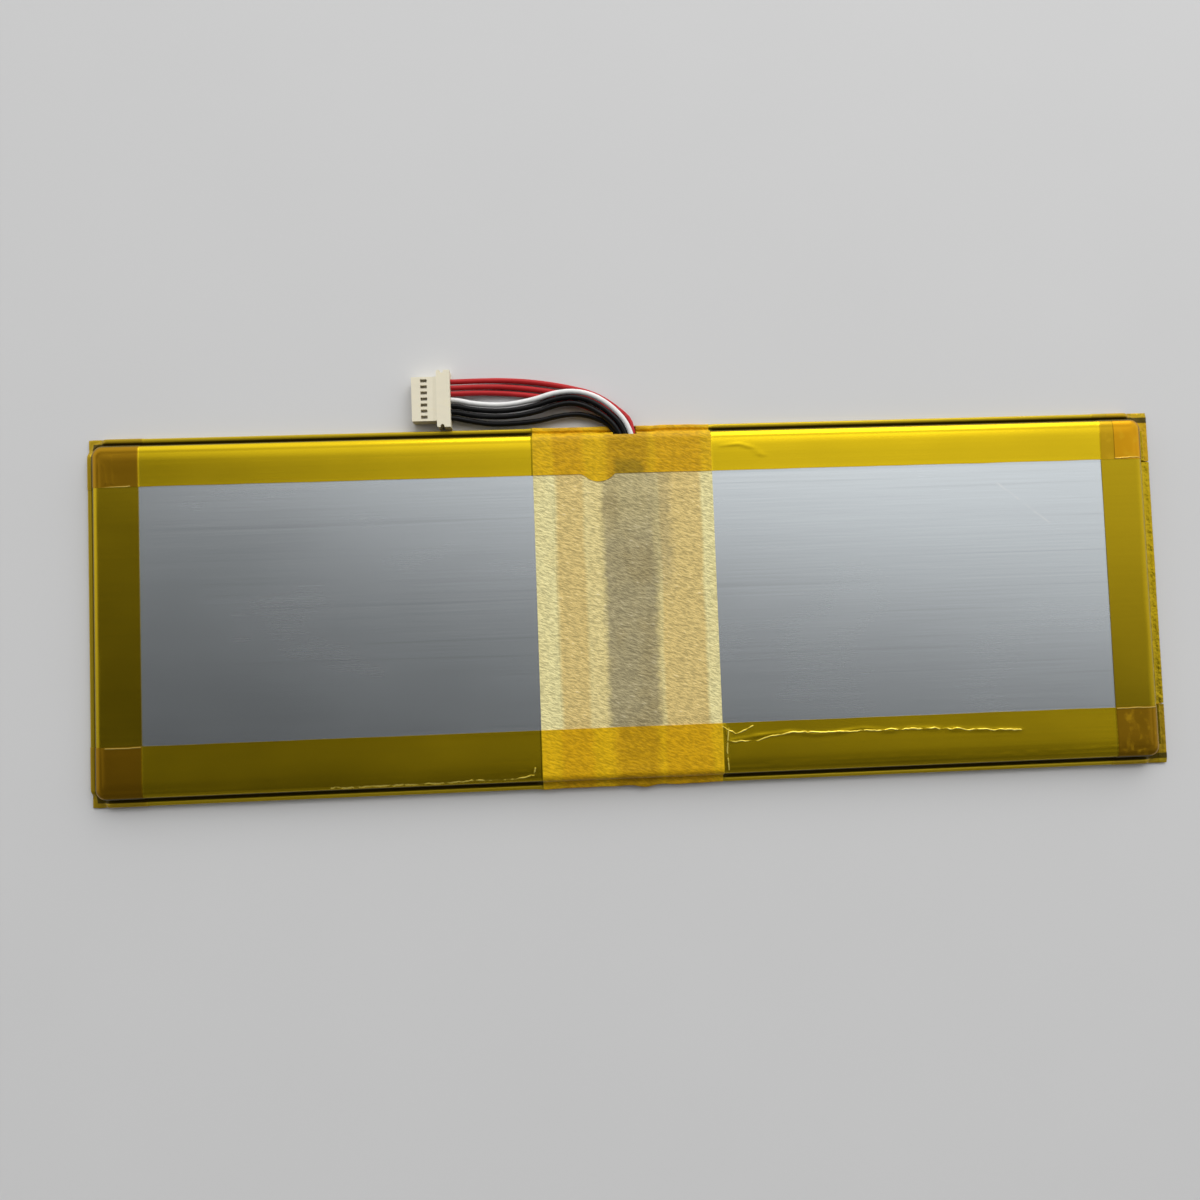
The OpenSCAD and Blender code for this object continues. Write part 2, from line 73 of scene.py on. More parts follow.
RIM_W, RIM_T = 2.5, 0.5  # sealed rim round a cell
CUP_R = 1.2  # rounding of the cup's top edge
CORNER_R = 2.2  # radius of the cup's upright corners
GROOVE_R = 0.9  # hollow between the wall and the rim
STAND_OFF = 0.4  # distance of the film from the cup's wall
LIP_RISE = 0.9  # how far the folded lip stands up
FILM = 0.1  # thickness of a film or of the paper
FIN_HALF = 0.012  # half the gap inside the flat fin
FILM_LEG, PAPER_LEG = 9, 20  # what reaches under the pack
CELL_LOW, CELL_HIGH = box_mm("cell_left")
FLOOR_Z, CELL_TOP = CELL_LOW[2], CELL_HIGH[2]
CUP_H = CELL_TOP - FLOOR_Z
AXIS_Y = CELL_HIGH[1] - RIM_W - CORNER_R
AXIS_LEFT = CELL_LOW[0] + RIM_W + CORNER_R
AXIS_RIGHT = box_mm("cell_right")[1][0] - RIM_W - CORNER_R
END_X, LINE_LEFT = (corner[0] for corner in box_mm("film_left"))
LINE_RIGHT, FIN_X = (corner[0] for corner in box_mm("film_right"))
LOW_LEFT, LOW_RIGHT = LINE_LEFT - 4.5, LINE_RIGHT + 4.1
HALF_W = box_mm("film_back")[1][1]
LINE_BACK = HALF_W - 12.4
LINE_FRONT = -box_mm("film_front")[1][1]
PAPER_X = [corner[0] for corner in box_mm("paper_band")]
INNER_X, INNER_Y, _ = zip(*box_mm("inner_film"))
GAP_EDGES = [(-6.5, 1.5), (4.9, 1.5)]  # x of both, and how far finer stations reach
TONGUE_X, TONGUE_Y, TONGUE_R = -8.45, LINE_BACK - 1.9, 5
EXIT_X, EXIT_Z = (-4.6, 1.2), (1.45, 4.15)
LAYER_X, LAYER_END = (121.1, 121.3), (127.9, 128.5)  # second layer at the far right corner
SCRATCH = 90.3, 27.5, 106.7, 14.2


# Route of each wire in millimetres, from its solder to the connector

ROUTES = {
    "wire_red_1": [(0.4, 34.6, 2.2), (0.4, 42.4, 2.2), (-0.4, 45.9, 1.8), (-2.8, 48.5, 1.3), (-5.8, 50.9, 1),
        (-9.7, 53, 0.9), (-14.1, 54.3, 0.8), (-21, 55.7, 0.8), (-31.5, 56.7, 0.9), (-38, 56.6, 1.4),
        (-44.2, 56.35, 1.95)],
    "wire_red_2": [(-1, 34.6, 2.2), (-1, 42.4, 2.2), (-1.7, 45.3, 1.9), (-4, 47.5, 1.4), (-6.9, 49.6, 1),
        (-10.4, 51.5, 0.85), (-14.6, 52.7, 0.8), (-21.5, 54, 0.8), (-31.5, 55.1, 0.9), (-38, 55.1, 1.4),
        (-44.2, 54.85, 1.95)],
    "wire_red_3": [(-2.4, 34.6, 2.2), (-2.4, 42.4, 2.2), (-3.1, 44.8, 2), (-5.2, 46.6, 1.4), (-8, 48.2, 1),
        (-11.3, 49.8, 0.85), (-15, 51, 0.8), (-22, 52.4, 0.8), (-32, 53.5, 0.9), (-38.5, 53.6, 1.4),
        (-44.2, 53.35, 1.95)],
    "wire_white": [(-0.3, 29, 2.2), (-0.3, 33, 3.41), (-0.3, 42.4, 3.41), (-1.6, 45.3, 3.4),
        (-3.6, 47.8, 3.2), (-6.3, 50.2, 3), (-10, 52.3, 2.6), (-14.2, 53.2, 2.3), (-18.5, 52.9, 2.2),
        (-24, 51.4, 2.2), (-31.5, 50.3, 2.15), (-38.5, 50.8, 2), (-44.2, 51.85, 1.95)],
    "wire_black_1": [(-1.7, 29, 2.2), (-1.7, 33, 3.41), (-1.7, 42.4, 3.41), (-2.9, 44.8, 3.4),
        (-4.8, 46.9, 3.2), (-7.4, 49.1, 3), (-10.8, 51, 2.6), (-14.4, 51.8, 2.3), (-18.3, 51.4, 2.2),
        (-23.5, 49.9, 2.2), (-31.5, 48.8, 2.15), (-38.5, 49.3, 2), (-44.2, 50.35, 1.95)],
    "wire_black_2": [(-3.1, 29, 2.2), (-3.1, 33, 3.41), (-3.1, 42.4, 3.41), (-4.2, 44.2, 3.4),
        (-6, 46.1, 3.2), (-8.6, 48, 3), (-11.6, 49.6, 2.6), (-14.7, 50.3, 2.3), (-18.2, 49.9, 2.2),
        (-23, 48.4, 2.2), (-31.5, 47.3, 2.2), (-38.5, 47.8, 2.1), (-44.2, 48.85, 1.95)],
    "wire_black_3": [(-3.8, 34.6, 2.2), (-3.8, 42.4, 2.2), (-5.3, 44.5, 2), (-8.6, 46.5, 1.7),
        (-12.7, 47.6, 1.5), (-17.7, 47.3, 1.5), (-22.5, 46.3, 1.5), (-28, 45.8, 1.5), (-35, 45.8, 1.6),
        (-40, 46.6, 1.8), (-44.2, 47.35, 1.95)],
}


# Creases of the film in millimetres: points along each, half width, height

FRONT_CREASES = [
    ([(21.1, -34.2), (28, -33.2), (36.4, -32.6), (42, -33.4), (48.5, -33.1)], 0.4, 0.09),
    ([(48.5, -33.1), (54, -32.4), (60, -33.3), (66.6, -32.9), (78, -33.6), (93.4, -34.4)], 0.4, 0.07),
    ([(19.8, -30.3), (20.8, -34), (20.1, -37.5), (20.4, -41.6)], 0.3, 0.09),
    ([(-96, -40.1), (-70, -39.9), (-45, -40), (-28, -39.6), (-26.2, -37.4)], 0.3, 0.05),
    ([(30, -40.1), (60, -39.8), (88, -40.2), (118, -39.6)], 0.3, 0.05),
]
BACK_CREASES = [
    ([(22, 38.2), (26.5, 38.6), (30, 37.4), (32, 35.6)], 0.35, 0.07),
    ([(-128.4, 38.5), (-127, 37), (-126.6, 33)], 0.3, 0.05),
    ([(-125.4, 39.5), (-125.1, 33)], 0.25, 0.04),
    ([(121.2, 32.5), (121.3, 40)], 0.25, 0.05),
]
# Painted highlights: points of the pale glint lines painted along the lifted creases, in millimetres
GLINT_CREASES = [
    [(21.1, -34.4), (27, -34.3), (36.4, -32.6), (48.5, -33.1), (66.6, -32.9), (93.4, -34.4)],
    [(-75, -41.5), (-62, -41.4), (-48, -41.3), (-36, -41.2), (-28.4, -41.0), (-26.7, -40.5), (-26.3, -38.8)],
    [(19.4, -30.6), (22.6, -32.6), (26.8, -30.9)],
    [(20.9, -31), (20.3, -36.5), (20.6, -41)],
]
# Painted highlights: points of the pale glint lines painted along the film's seams, in millimetres
SEAM_GLINTS = [
    [(-127.4, -30.1), (-119.3, -30.1)],
    [(118, -30.1), (127.9, -30.1)],
    [(-129, 31.9), (-121, 32.3)],
    [(121.4, 32.4), (127.6, 32.5)],
]


# Plain surface tools

def smooth(low, high, value):
    """0 below low, 1 above high, and 3 t^2 - 2 t^3 between them."""
    t = np.clip((value - low) / (high - low), 0, 1)
    return t * t * (3 - 2 * t)


def between(low, high, edge, value):
    """1 from low to high and 0 outside, with soft edges of the given width."""
    half = edge / 2
    return smooth(low - half, low + half, value) * (1 - smooth(high - half, high + half, value))


def ripple(x, y, size, seed):
    """Smooth uneven field from -1 to 1: the mean of nine sine waves of about the given length, in fixed
    chance directions."""
    chance = np.random.default_rng(seed)
    total = 0
    for angle, phase, stretch in chance.uniform(size=(9, 3)):
        turn = 2 * np.pi * angle
        length = size * (0.6 + 0.9 * stretch)
        total = total + np.sin(2 * np.pi * ((x * np.cos(turn) + y * np.sin(turn)) / length + phase))
    return total / 4.5


def crease(x, y, points, half_width, height):
    """Raised line: height times exp(-(distance to the polyline / half width)^2), uneven along its length."""
    nearest = np.full(np.broadcast(x, y).shape, 1e9)
    for (x0, y0), (x1, y1) in zip(points[:-1], points[1:]):
        dx, dy = x1 - x0, y1 - y0
        along = np.clip(((x - x0) * dx + (y - y0) * dy) / (dx * dx + dy * dy), 0, 1)
        nearest = np.minimum(nearest, np.hypot(x - x0 - along * dx, y - y0 - along * dy))
    uneven = 0.65 + 0.35 * ripple(x, y, 5, 17)
    return height * uneven * np.exp(-(nearest / half_width) ** 2)


def stations(start, stop, step, spots, snap=()):
    """Places from start to stop, step apart, four times as close near each spot. The place nearest to
    each value in snap moves on to it."""
    dense = np.linspace(start, stop, 20001)
    nearness = np.zeros_like(dense)
    for place, reach in spots:
        nearness = np.maximum(nearness, np.exp(-((dense - place) / reach) ** 4))
    running = np.concatenate([[0], np.cumsum((1 + 3 * nearness[1:]) / step * np.diff(dense))])
    count = int(np.ceil(running[-1]))
    places = np.interp(np.linspace(0, running[-1], count + 1), running, dense)
    for value in snap:
        places[np.argmin(abs(places - value))] = value
    return places


def points_of(x, y, z):
    """Grid of points from three arrays that broadcast to one shape."""
    return np.stack(np.broadcast_arrays(x, y, z), -1)


def put_mesh(name, points, faces):
    """Object at the origin from points in millimetres and quads; edges over 50 degrees stay sharp."""
    used, index = np.unique(faces, return_inverse=True)
    points = points[used] * MM
    faces = index.reshape(faces.shape)
    a, b, c, d = points[faces.T]
    volume = np.einsum("ij,ij->i", a, np.cross(b, c)).sum() + np.einsum("ij,ij->i", a, np.cross(c, d)).sum()
    if volume < 0:
        faces = faces[:, ::-1]
    mesh = bpy.data.meshes.new(name)
    mesh.vertices.add(len(points))
    mesh.vertices.foreach_set("co", points.astype(np.float32).ravel())
    mesh.loops.add(faces.size)
    mesh.loops.foreach_set("vertex_index", faces.astype(np.int32).ravel())
    mesh.polygons.add(len(faces))
    mesh.polygons.foreach_set("loop_start", np.arange(0, faces.size, 4, dtype=np.int32))
    mesh.polygons.foreach_set("loop_total", np.full(len(faces), 4, dtype=np.int32))
    mesh.polygons.foreach_set("use_smooth", np.ones(len(faces), dtype=bool))
    mesh.update(calc_edges=True)
    mesh.validate()
    mesh.set_sharp_from_angle(angle=radians(50))
    piece = bpy.data.objects.new(name, mesh)
    bpy.context.scene.collection.objects.link(piece)
    return piece


def shell(name, outer, inner, keep=None):
    """Closed sheet between two grids of points: the quads of the kept cells on both, and a wall of quads
    along every edge between a kept and a dropped cell."""
    rows, cols = outer.shape[:2]
    if keep is None:
        keep = np.ones((rows - 1, cols - 1), bool)
    index = np.arange(rows * cols).reshape(rows, cols)
    a, b, c, d = index[:-1, :-1], index[1:, :-1], index[1:, 1:], index[:-1, 1:]
    quads = [np.stack([a, b, c, d], -1)[keep], np.stack([a, d, c, b], -1)[keep] + rows * cols]
    near = np.pad(keep, 1)
    for first, second, step in (
            (near[:-1, 1:-1], near[1:, 1:-1], (0, 1)), (near[1:-1, 1:], near[1:-1, :-1], (1, 0))):
        for here, there, turned in ((first, second, False), (second, first, True)):
            i, j = np.nonzero(there & ~here)
            p, q = index[i, j], index[i + step[0], j + step[1]]
            if turned:
                p, q = q, p
            quads.append(np.stack([p, q, q + rows * cols, p + rows * cols], -1))
    points = np.concatenate([outer.reshape(-1, 3), inner.reshape(-1, 3)])
    return put_mesh(name, points, np.concatenate(quads))


# Surface of the wrapped pack

END_ROWS = 11
BRIDGE_ROW = 9


def edge_profile():
    """Rows of the edge from the top face to the bottom: distance u outward from the cup wall, height z
    above the cell floor, and the outward direction. It is the rounding of the cup, the film's wall just
    outside the cup's, the hollow groove, the top of the rim and the rim's round end."""
    rounding = np.radians(np.linspace(90, 0, 8))
    groove = np.radians(np.linspace(180, 270, 7))
    end = np.radians(np.linspace(90, -90, END_ROWS))
    end_r = RIM_T / 2
    end_u = RIM_W - end_r
    parts = [
        (-CUP_R + (CUP_R + STAND_OFF) * np.cos(rounding), CUP_H - CUP_R + CUP_R * np.sin(rounding),
         np.cos(rounding), np.sin(rounding)),
        (np.full(3, STAND_OFF), np.linspace(CUP_H - CUP_R, RIM_T + GROOVE_R, 5)[1:-1],
         np.ones(3), np.zeros(3)),
        (GROOVE_R + (GROOVE_R - STAND_OFF) * np.cos(groove), RIM_T + GROOVE_R + GROOVE_R * np.sin(groove),
         -np.cos(groove), -np.sin(groove)),
        (np.linspace(GROOVE_R, end_u, 7)[1:-1], np.full(5, RIM_T), np.zeros(5), np.ones(5)),
        (end_u + end_r * np.cos(end), end_r + end_r * np.sin(end), np.cos(end), np.sin(end)),
    ]
    return [np.concatenate(rows) for rows in zip(*parts)]


EDGE_U, EDGE_Z, EDGE_NU, EDGE_NZ = edge_profile()
EDGE_ROWS = np.arange(len(EDGE_U))

# Rows of the flat fin, out over its tip and back below it: how far along each lies, how much of the
# rim's thickness is left there, and on which face it is

FIN_ALONG = np.array([0, 0.12, 0.3, 0.6, 0.9, 1, 0.9, 0.6, 0.3, 0.12, 0])
FIN_BLEND = np.array([1, 0.45, 0.08, 0, 0, 0, 0, 0, 0.08, 0.45, 1])
FIN_SIDE = np.array([1, 1, 1, 1, 1, 0, -1, -1, -1, -1, -1])


def edge_points(offset, fin_out, fin_half, bridge, bulge):
    """Distance u and height z of every edge row at each station, grown outward by offset.
    The folded rim's lip rises towards its end. Where fin_out is more than the rim, it stays flat, and the
    rows of its end run out along a flat fin of that length, whose inner tip lies inside the outer one.
    bridge from 0 to 1 pulls the groove straight, from the wall to the rim, and bulge moves it outward."""
    first, last = BRIDGE_ROW, len(EDGE_U) - END_ROWS
    amount = smooth(2.7, 3.1, fin_out)
    lip = LIP_RISE * smooth(0.9, 1.7, EDGE_U) * np.clip(EDGE_Z / RIM_T, 0, 1)
    u = EDGE_U + offset * EDGE_NU
    z = EDGE_Z + offset * EDGE_NZ + lip * (1 - amount)
    fin_u = EDGE_U[last] + (fin_out - (FILM - fin_half) - EDGE_U[last]) * FIN_ALONG
    lift = RIM_T / 2 + offset[:, -END_ROWS:]
    fin_z = RIM_T / 2 + FIN_SIDE * (fin_half + (lift - fin_half) * FIN_BLEND)
    u[:, last:] += amount * (fin_u - u[:, last:])
    z[:, last:] += amount * (fin_z - z[:, last:])
    t = np.linspace(0, 1, last - first + 1)
    for rows, power in ((u[:, first:last + 1], 1.15), (z[:, first:last + 1], 0.9)):
        rows += bridge * (rows[:, :1] + (rows[:, -1:] - rows[:, :1]) * t ** power - rows)
    return u + bulge * smooth(0, 2, u), z


def bridging(x, side):
    """How far the sheets over the paper pull straight over the groove, and how far they bulge outward
    there. Beside the slit of the wires they do neither."""
    free = 1 - between(EXIT_X[0] - 3.5, EXIT_X[1] + 3.5, 3, x) * (side > 0)
    bulge = 0.35 * np.exp(-((x - 0.5) / 2.2) ** 2) + 0.12 * ripple(x, 0, 9, 8)
    return free * (0.55 if side > 0 else 0.92), free * bulge


def torn(x, y, side):
    """Crumple of the side film round the slit of the wires, most at the edge of the pack."""
    near = np.exp(-((x + 2.5) / 6.5) ** 2) * smooth(38, 40.5, y) * (side > 0)
    return near * (0.05 + 0.12 * smooth(41, 42, y)) * (1 + ripple(x, y, 2.2, 70) * ripple(x, y, 1.1, 71))


def sag(x, y):
    """Fall of the paper over the gap between the cells, and its small unevenness."""
    gap = between(-6.6, 4.9, 2.4, x) * between(-39.5, 24, 5, y)
    return -0.28 * gap * (1 + 0.25 * ripple(x, y, 11, 5)) + 0.02 * ripple(x, y, 7, 6) * (1 - gap) + 0.02


def side_film(name, side, line, creases):
    """Film over one long side, from its line on the top face over the edge to its leg below, wrapped
    round both corners on to the ends. Stations run up the left end, round the corner, along the side,
    round the other corner and down the right end. At each one the rows cross the top face, the edge
    profile and the bottom leg. All is worked out with y towards the edge, and side gives its sign."""
    along = stations(AXIS_LEFT, AXIS_RIGHT, 0.85, [
        (LINE_LEFT, 0.8), (LINE_RIGHT, 0.8), (PAPER_X[0], 0.8), (PAPER_X[1], 1.2), (EXIT_X[0] + 2.9, 5),
        (AXIS_LEFT, 2), (AXIS_RIGHT, 2)], EXIT_X)
    up = np.linspace(line, AXIS_Y, 16)
    corner = np.radians(np.linspace(180, 90, 13))[1:-1]
    at_end, at_corner = np.ones(len(up)), np.ones(len(corner))
    before = len(up) + len(corner)
    axis_x, axis_y, normal_x, normal_y = (np.concatenate(parts)[:, None] for parts in (
        (AXIS_LEFT * at_end, AXIS_LEFT * at_corner, along, AXIS_RIGHT * at_corner, AXIS_RIGHT * at_end),
        (up, AXIS_Y * at_corner, np.full(len(along), AXIS_Y), AXIS_Y * at_corner, up[::-1]),
        (-at_end, np.cos(corner), np.zeros(len(along)), -np.cos(corner)[::-1], at_end),
        (0 * at_end, np.sin(corner), np.ones(len(along)), np.sin(corner)[::-1], 0 * at_end)))

    def at(u):
        """Place of each station at distance u outward from the cup wall."""
        return axis_x + normal_x * (CORNER_R + u), axis_y + normal_y * (CORNER_R + u)

    # The fin reaches from the cup wall, along the outward direction, to the square outline of the pack
    with np.errstate(divide="ignore", invalid="ignore"):
        to_end = (np.where(normal_x > 0, FIN_X, END_X) - axis_x) / normal_x
        to_side = np.where(normal_y > 1e-6, (HALF_W - axis_y) / normal_y, 1e9)
    fin_out = np.where(abs(normal_x) > 1e-6, np.minimum(to_end, to_side) - CORNER_R, 0)

    travel = np.concatenate([[0], np.cumsum(np.hypot(*np.diff(at(0), axis=1)))])[:, None]

    def inner_x(inset, join):
        """Where each station meets an inner line: straight below it, but from join inwards of both
        corners it fans out, up to inset from them."""
        s_left, s_right = np.interp(
            (AXIS_LEFT + join, AXIS_RIGHT - join), along, travel[before:before + len(along), 0])
        x = np.where(travel < s_left, AXIS_LEFT + inset + (join - inset) * travel / s_left, axis_x)
        tail = (travel - s_right) / (travel[-1] - s_right)
        return np.where(travel > s_right, AXIS_RIGHT - join + (join - inset) * tail, x)

    def level(x, low, high):
        """Thickness of what lies below: an end film outside low and high, or the paper."""
        over_end = 1 - between(low, high, 0.3, x)
        return FILM * np.maximum(over_end, between(PAPER_X[0] - 0.1, PAPER_X[1] + 0.1, 0.3, x))

    t = np.linspace(0, 1, 30, endpoint=False)
    start_x = inner_x(4.8, 7)
    start_y = line + 0.04 * ripple(start_x, line, 16, 31)
    if side > 0:
        reach = np.clip(TONGUE_R ** 2 - (start_x - TONGUE_X) ** 2, 0, None)
        start_y = np.minimum(start_y, np.where(reach > 0, TONGUE_Y + TONGUE_R - np.sqrt(reach), HALF_W))
    stop_x, stop_y = at(-CUP_R)
    top_x = start_x + (stop_x - start_x) * t
    top_y = start_y + (stop_y - start_y) * t
    middle = between(PAPER_X[0] - 1, PAPER_X[1] + 1, 1.6, axis_x) * normal_y
    bridge, bulge = (middle * amount for amount in bridging(axis_x, side))
    blanket = level(axis_x, LINE_LEFT, LINE_RIGHT)
    low_t = np.linspace(0, 1, 13)[1:]
    edge_x, edge_y = at(EDGE_U[-1])
    below_x = edge_x + (inner_x(1.6, 3) - edge_x) * low_t
    below_y = edge_y + (HALF_W - FILM_LEG - edge_y) * low_t
    under = level(below_x, LOW_LEFT, LOW_RIGHT)

    def uneven(x, y):
        return 0.012 * (1 + ripple(x, y, 23, 40 + side))

    def grid(thickness):
        bump = sum(crease(top_x, side * top_y, *c) for c in creases)
        bump = bump + uneven(top_x, top_y) + torn(top_x, top_y, side)
        drop = sag(top_x, side * top_y) * between(PAPER_X[0] + 0.5, PAPER_X[1] - 0.5, 1, top_x)
        roll = 0.07 * smooth(0, 0.75, t) - 0.14 * np.clip((t - 0.75) / 0.25, 0, None) ** 2
        drop = drop + roll * (1 - between(*PAPER_X, 1, top_x))
        top_z = CUP_H + level(top_x, LINE_LEFT, LINE_RIGHT) + bump + drop + thickness
        sway = torn(axis_x, AXIS_Y + CORNER_R + EDGE_U, side) * (1 - smooth(13, 19, EDGE_ROWS))
        u, z = edge_points(blanket + thickness + sway, fin_out, max(thickness, FIN_HALF), bridge, bulge)
        z = z + (drop[:, -1:] + uneven(axis_x, AXIS_Y)) * (1 - smooth(0, 8, EDGE_ROWS))
        points = np.concatenate([
            points_of(top_x, top_y, top_z), points_of(*at(u), z),
            points_of(below_x, below_y, -(under + thickness))], 1)
        return points * (1, side, 1) + (0, 0, FLOOR_Z)

    outer, inner = grid(FILM), grid(0)
    return shell(name, outer, inner, ~exit_cells(inner))


def exit_cells(points):
    """Cells of a grid that lie in the slit where the wires come out."""
    middle = (points[:-1, :-1] + points[1:, 1:]) / 2
    inside = (middle[..., 0] > EXIT_X[0]) & (middle[..., 0] < EXIT_X[1]) & (middle[..., 1] > AXIS_Y)
    return inside & (middle[..., 2] > EXIT_Z[0]) & (middle[..., 2] < EXIT_Z[1])


def end_film(name, side):
    """Film over one end, from its line on the top face over the edge to its leg below; stations run
    across the pack. At the right end it stands out as a flat fin between the side films."""
    if side > 0:
        line, low_line, axis, fin = LINE_RIGHT, LOW_RIGHT, AXIS_RIGHT, FIN_X - AXIS_RIGHT - CORNER_R
    else:
        line, low_line, axis, fin = -LINE_LEFT, -LOW_LEFT, -AXIS_LEFT, 0.0
    front, back = -LINE_FRONT + 0.1, LINE_BACK - 0.1
    y = stations(-AXIS_Y, AXIS_Y, 0.9, [(front, 0.6), (back, 0.6)])[:, None]
    top_x = line + (axis + CORNER_R - CUP_R - line) * np.linspace(0, 1, 26, endpoint=False)
    edge_end = axis + CORNER_R + EDGE_U[-1]
    below_x = edge_end + (low_line - edge_end) * np.linspace(0, 1, 11)[1:]
    fin_out = np.where((y > front + 0.05) & (y < back - 0.05), fin, 0.0)

    def grid(thickness):
        bump = 0.02 * (1 + ripple(top_x, y, 19, 60 + side)) * smooth(0, 3, HALF_W - 5 - abs(y))
        u, z = edge_points(np.full_like(y, thickness), fin_out, max(thickness, FIN_HALF), 0, 0)
        sway = fin_out * 0.02 * ripple(y, 0, 14, 9) * smooth(2.6, 4, u)
        points = np.concatenate([
            points_of(top_x, y, CUP_H + thickness + bump), points_of(axis + CORNER_R + u, y, z + sway),
            points_of(below_x, y, -thickness)], 1)
        return points * (side, 1, 1) + (0, 0, FLOOR_Z)

    return shell(name, grid(FILM), grid(0))


def paper_surface(name):
    """Band of crepe paper round the middle: rows run from the leg below the wire side, over the edge,
    across the top face and over the other edge; it sags over the gap and rises over the inner film."""
    x = stations(*PAPER_X, 0.45, [*GAP_EDGES, (INNER_X[0], 0.5), (INNER_X[1], 0.5)], EXIT_X)[:, None]
    wall_y = AXIS_Y + CORNER_R
    across = np.linspace(wall_y - CUP_R, CUP_R - wall_y, 170)[1:-1]
    edge_end = wall_y + EDGE_U[-1]
    leg_y = edge_end + (HALF_W - PAPER_LEG - edge_end) * np.linspace(0, 1, 9)[1:]

    def grid(thickness):
        raised = FILM * between(*INNER_X, 0.3, x) * between(*INNER_Y, 0.6, across)
        flat = points_of(x, across, CUP_H + raised + sag(x, across) + thickness)
        leg = points_of(x, leg_y, -thickness)
        edges = []
        for side in (1, -1):
            u, z = edge_points(np.full_like(x, thickness), 0, FILM, *bridging(x, side))
            edges.append(points_of(x, side * (wall_y + u), z))
        points = [leg[:, ::-1], edges[0][:, ::-1], flat, edges[1], leg * (1, -1, 1)]
        return np.concatenate(points, 1) + (0, 0, FLOOR_Z)

    outer, inner = grid(FILM), grid(0)
    return shell(name, outer, inner, ~exit_cells(inner))


def inner_surface(name):
    """Amber film over the board: a flat sheet that sags with the paper over the gap."""
    x = stations(*INNER_X, 0.7, GAP_EDGES)[:, None]
    y = np.linspace(*INNER_Y, 90)
    bottom = points_of(x, y, CELL_TOP + sag(x, y) - 0.02)
    return shell(name, bottom + (0, 0, FILM), bottom)


def wire_line(route):
    """Forty points on one smooth curve through the route: cubic Hermite pieces whose slopes are the
    weighted mean of the straight stretches on both sides."""
    p = np.array(route, float)
    gap = np.linalg.norm(np.diff(p, axis=0), axis=1)
    place = np.concatenate([[0], np.cumsum(gap)])
    slope = np.diff(p, axis=0) / gap[:, None]
    middle = (slope[:-1] * gap[1:, None] + slope[1:] * gap[:-1, None]) / (gap[:-1] + gap[1:])[:, None]
    tangent = np.concatenate([[[0, 1, 0]], middle, [[-1, 0, 0]]])
    if abs(p[1, 2] - p[0, 2]) > 0.5:
        tangent[0] = slope[0]
    s = np.linspace(0, place[-1], 40)
    k = np.clip(np.searchsorted(place, s, side="right") - 1, 0, len(gap) - 1)
    t = ((s - place[k]) / gap[k])[:, None]
    h = gap[k][:, None]
    return ((2 * t ** 3 - 3 * t ** 2 + 1) * p[k] + (t ** 3 - 2 * t ** 2 + t) * h * tangent[k]
            + (3 * t ** 2 - 2 * t ** 3) * p[k + 1] + (t ** 3 - t ** 2) * h * tangent[k + 1]) * MM


# Finishes

def sum_node(operation, turned=False):
    """Method that adds a Math node for the operation; turned swaps its two values."""
    def method(self, *others):
        values = (*others, self) if turned else (self, *others)
        return self.nodes.node("ShaderNodeMath", {"operation": operation}, dict(enumerate(values)))
    return method


class Socket:
    """A socket that takes part in plain sums; each sum adds a Math node to its tree."""

    def __init__(self, nodes, socket):
        self.nodes = nodes
        self.socket = socket

    __add__ = __radd__ = sum_node("ADD")
    __sub__ = sum_node("SUBTRACT")
    __rsub__ = sum_node("SUBTRACT", turned=True)
    __mul__ = __rmul__ = sum_node("MULTIPLY")
    __truediv__ = sum_node("DIVIDE")
    __pow__ = sum_node("POWER")
    __abs__ = sum_node("ABSOLUTE")
    highest = sum_node("MAXIMUM")
    lowest = sum_node("MINIMUM")

    def over(self, low, high):
        """0 at low, 1 at high, with a soft start and stop."""
        return self.nodes.node("ShaderNodeMapRange", {"interpolation_type": "SMOOTHSTEP"},
                               {0: self, 1: low, 2: high, 3: 0.0, 4: 1.0})

    def band(self, low, high, edge=0.3):
        """1 from low to high and 0 outside."""
        half = edge / 2
        return self.over(low - half, low + half) * (1 - self.over(high - half, high + half))


def tone(colour, factor, more=0):
    """Colour times a factor, or one factor for each part, and at most 1."""
    return tuple(np.minimum(np.array(colour) * factor + more, 1))


class Nodes:
    """An empty node tree that is filled through one method."""

    def __init__(self, owner):
        owner.use_nodes = True
        self.tree = owner.node_tree
        self.tree.nodes.clear()

    def node(self, kind, settings, values, output=0):
        """Adds a node: its settings first, then the values or links of its sockets."""
        node = self.tree.nodes.new(kind)
        for name, value in settings.items():
            setattr(node, name, value)
        for name, value in values.items():
            self.link(value, node.inputs[name])
        return Socket(self, node.outputs[output]) if node.outputs else node

    def link(self, value, target):
        """Joins a socket to the target, or gives the target a value of its own."""
        if isinstance(value, Socket):
            self.tree.links.new(value.socket, target)
        elif target.type == "RGBA":
            target.default_value = (*value[:3], 1)
        else:
            target.default_value = value

    def mix(self, factor, first, second):
        """Colour between first and second."""
        return self.node("ShaderNodeMix", {"data_type": "RGBA"}, {0: factor, 6: first, 7: second}, 2)

    def mottled(self, factor, colour, low, high):
        """Colour between two tones of its own."""
        return self.mix(factor, tone(colour, low), tone(colour, high))

    def scaled(self, colour, factor):
        """Colour times a number."""
        return self.node("ShaderNodeVectorMath", {"operation": "SCALE"}, {0: colour, "Scale": factor})

    def parts(self, vector):
        """The three parts of a vector."""
        return [self.node("ShaderNodeSeparateXYZ", {}, {0: vector}, axis) for axis in "XYZ"]


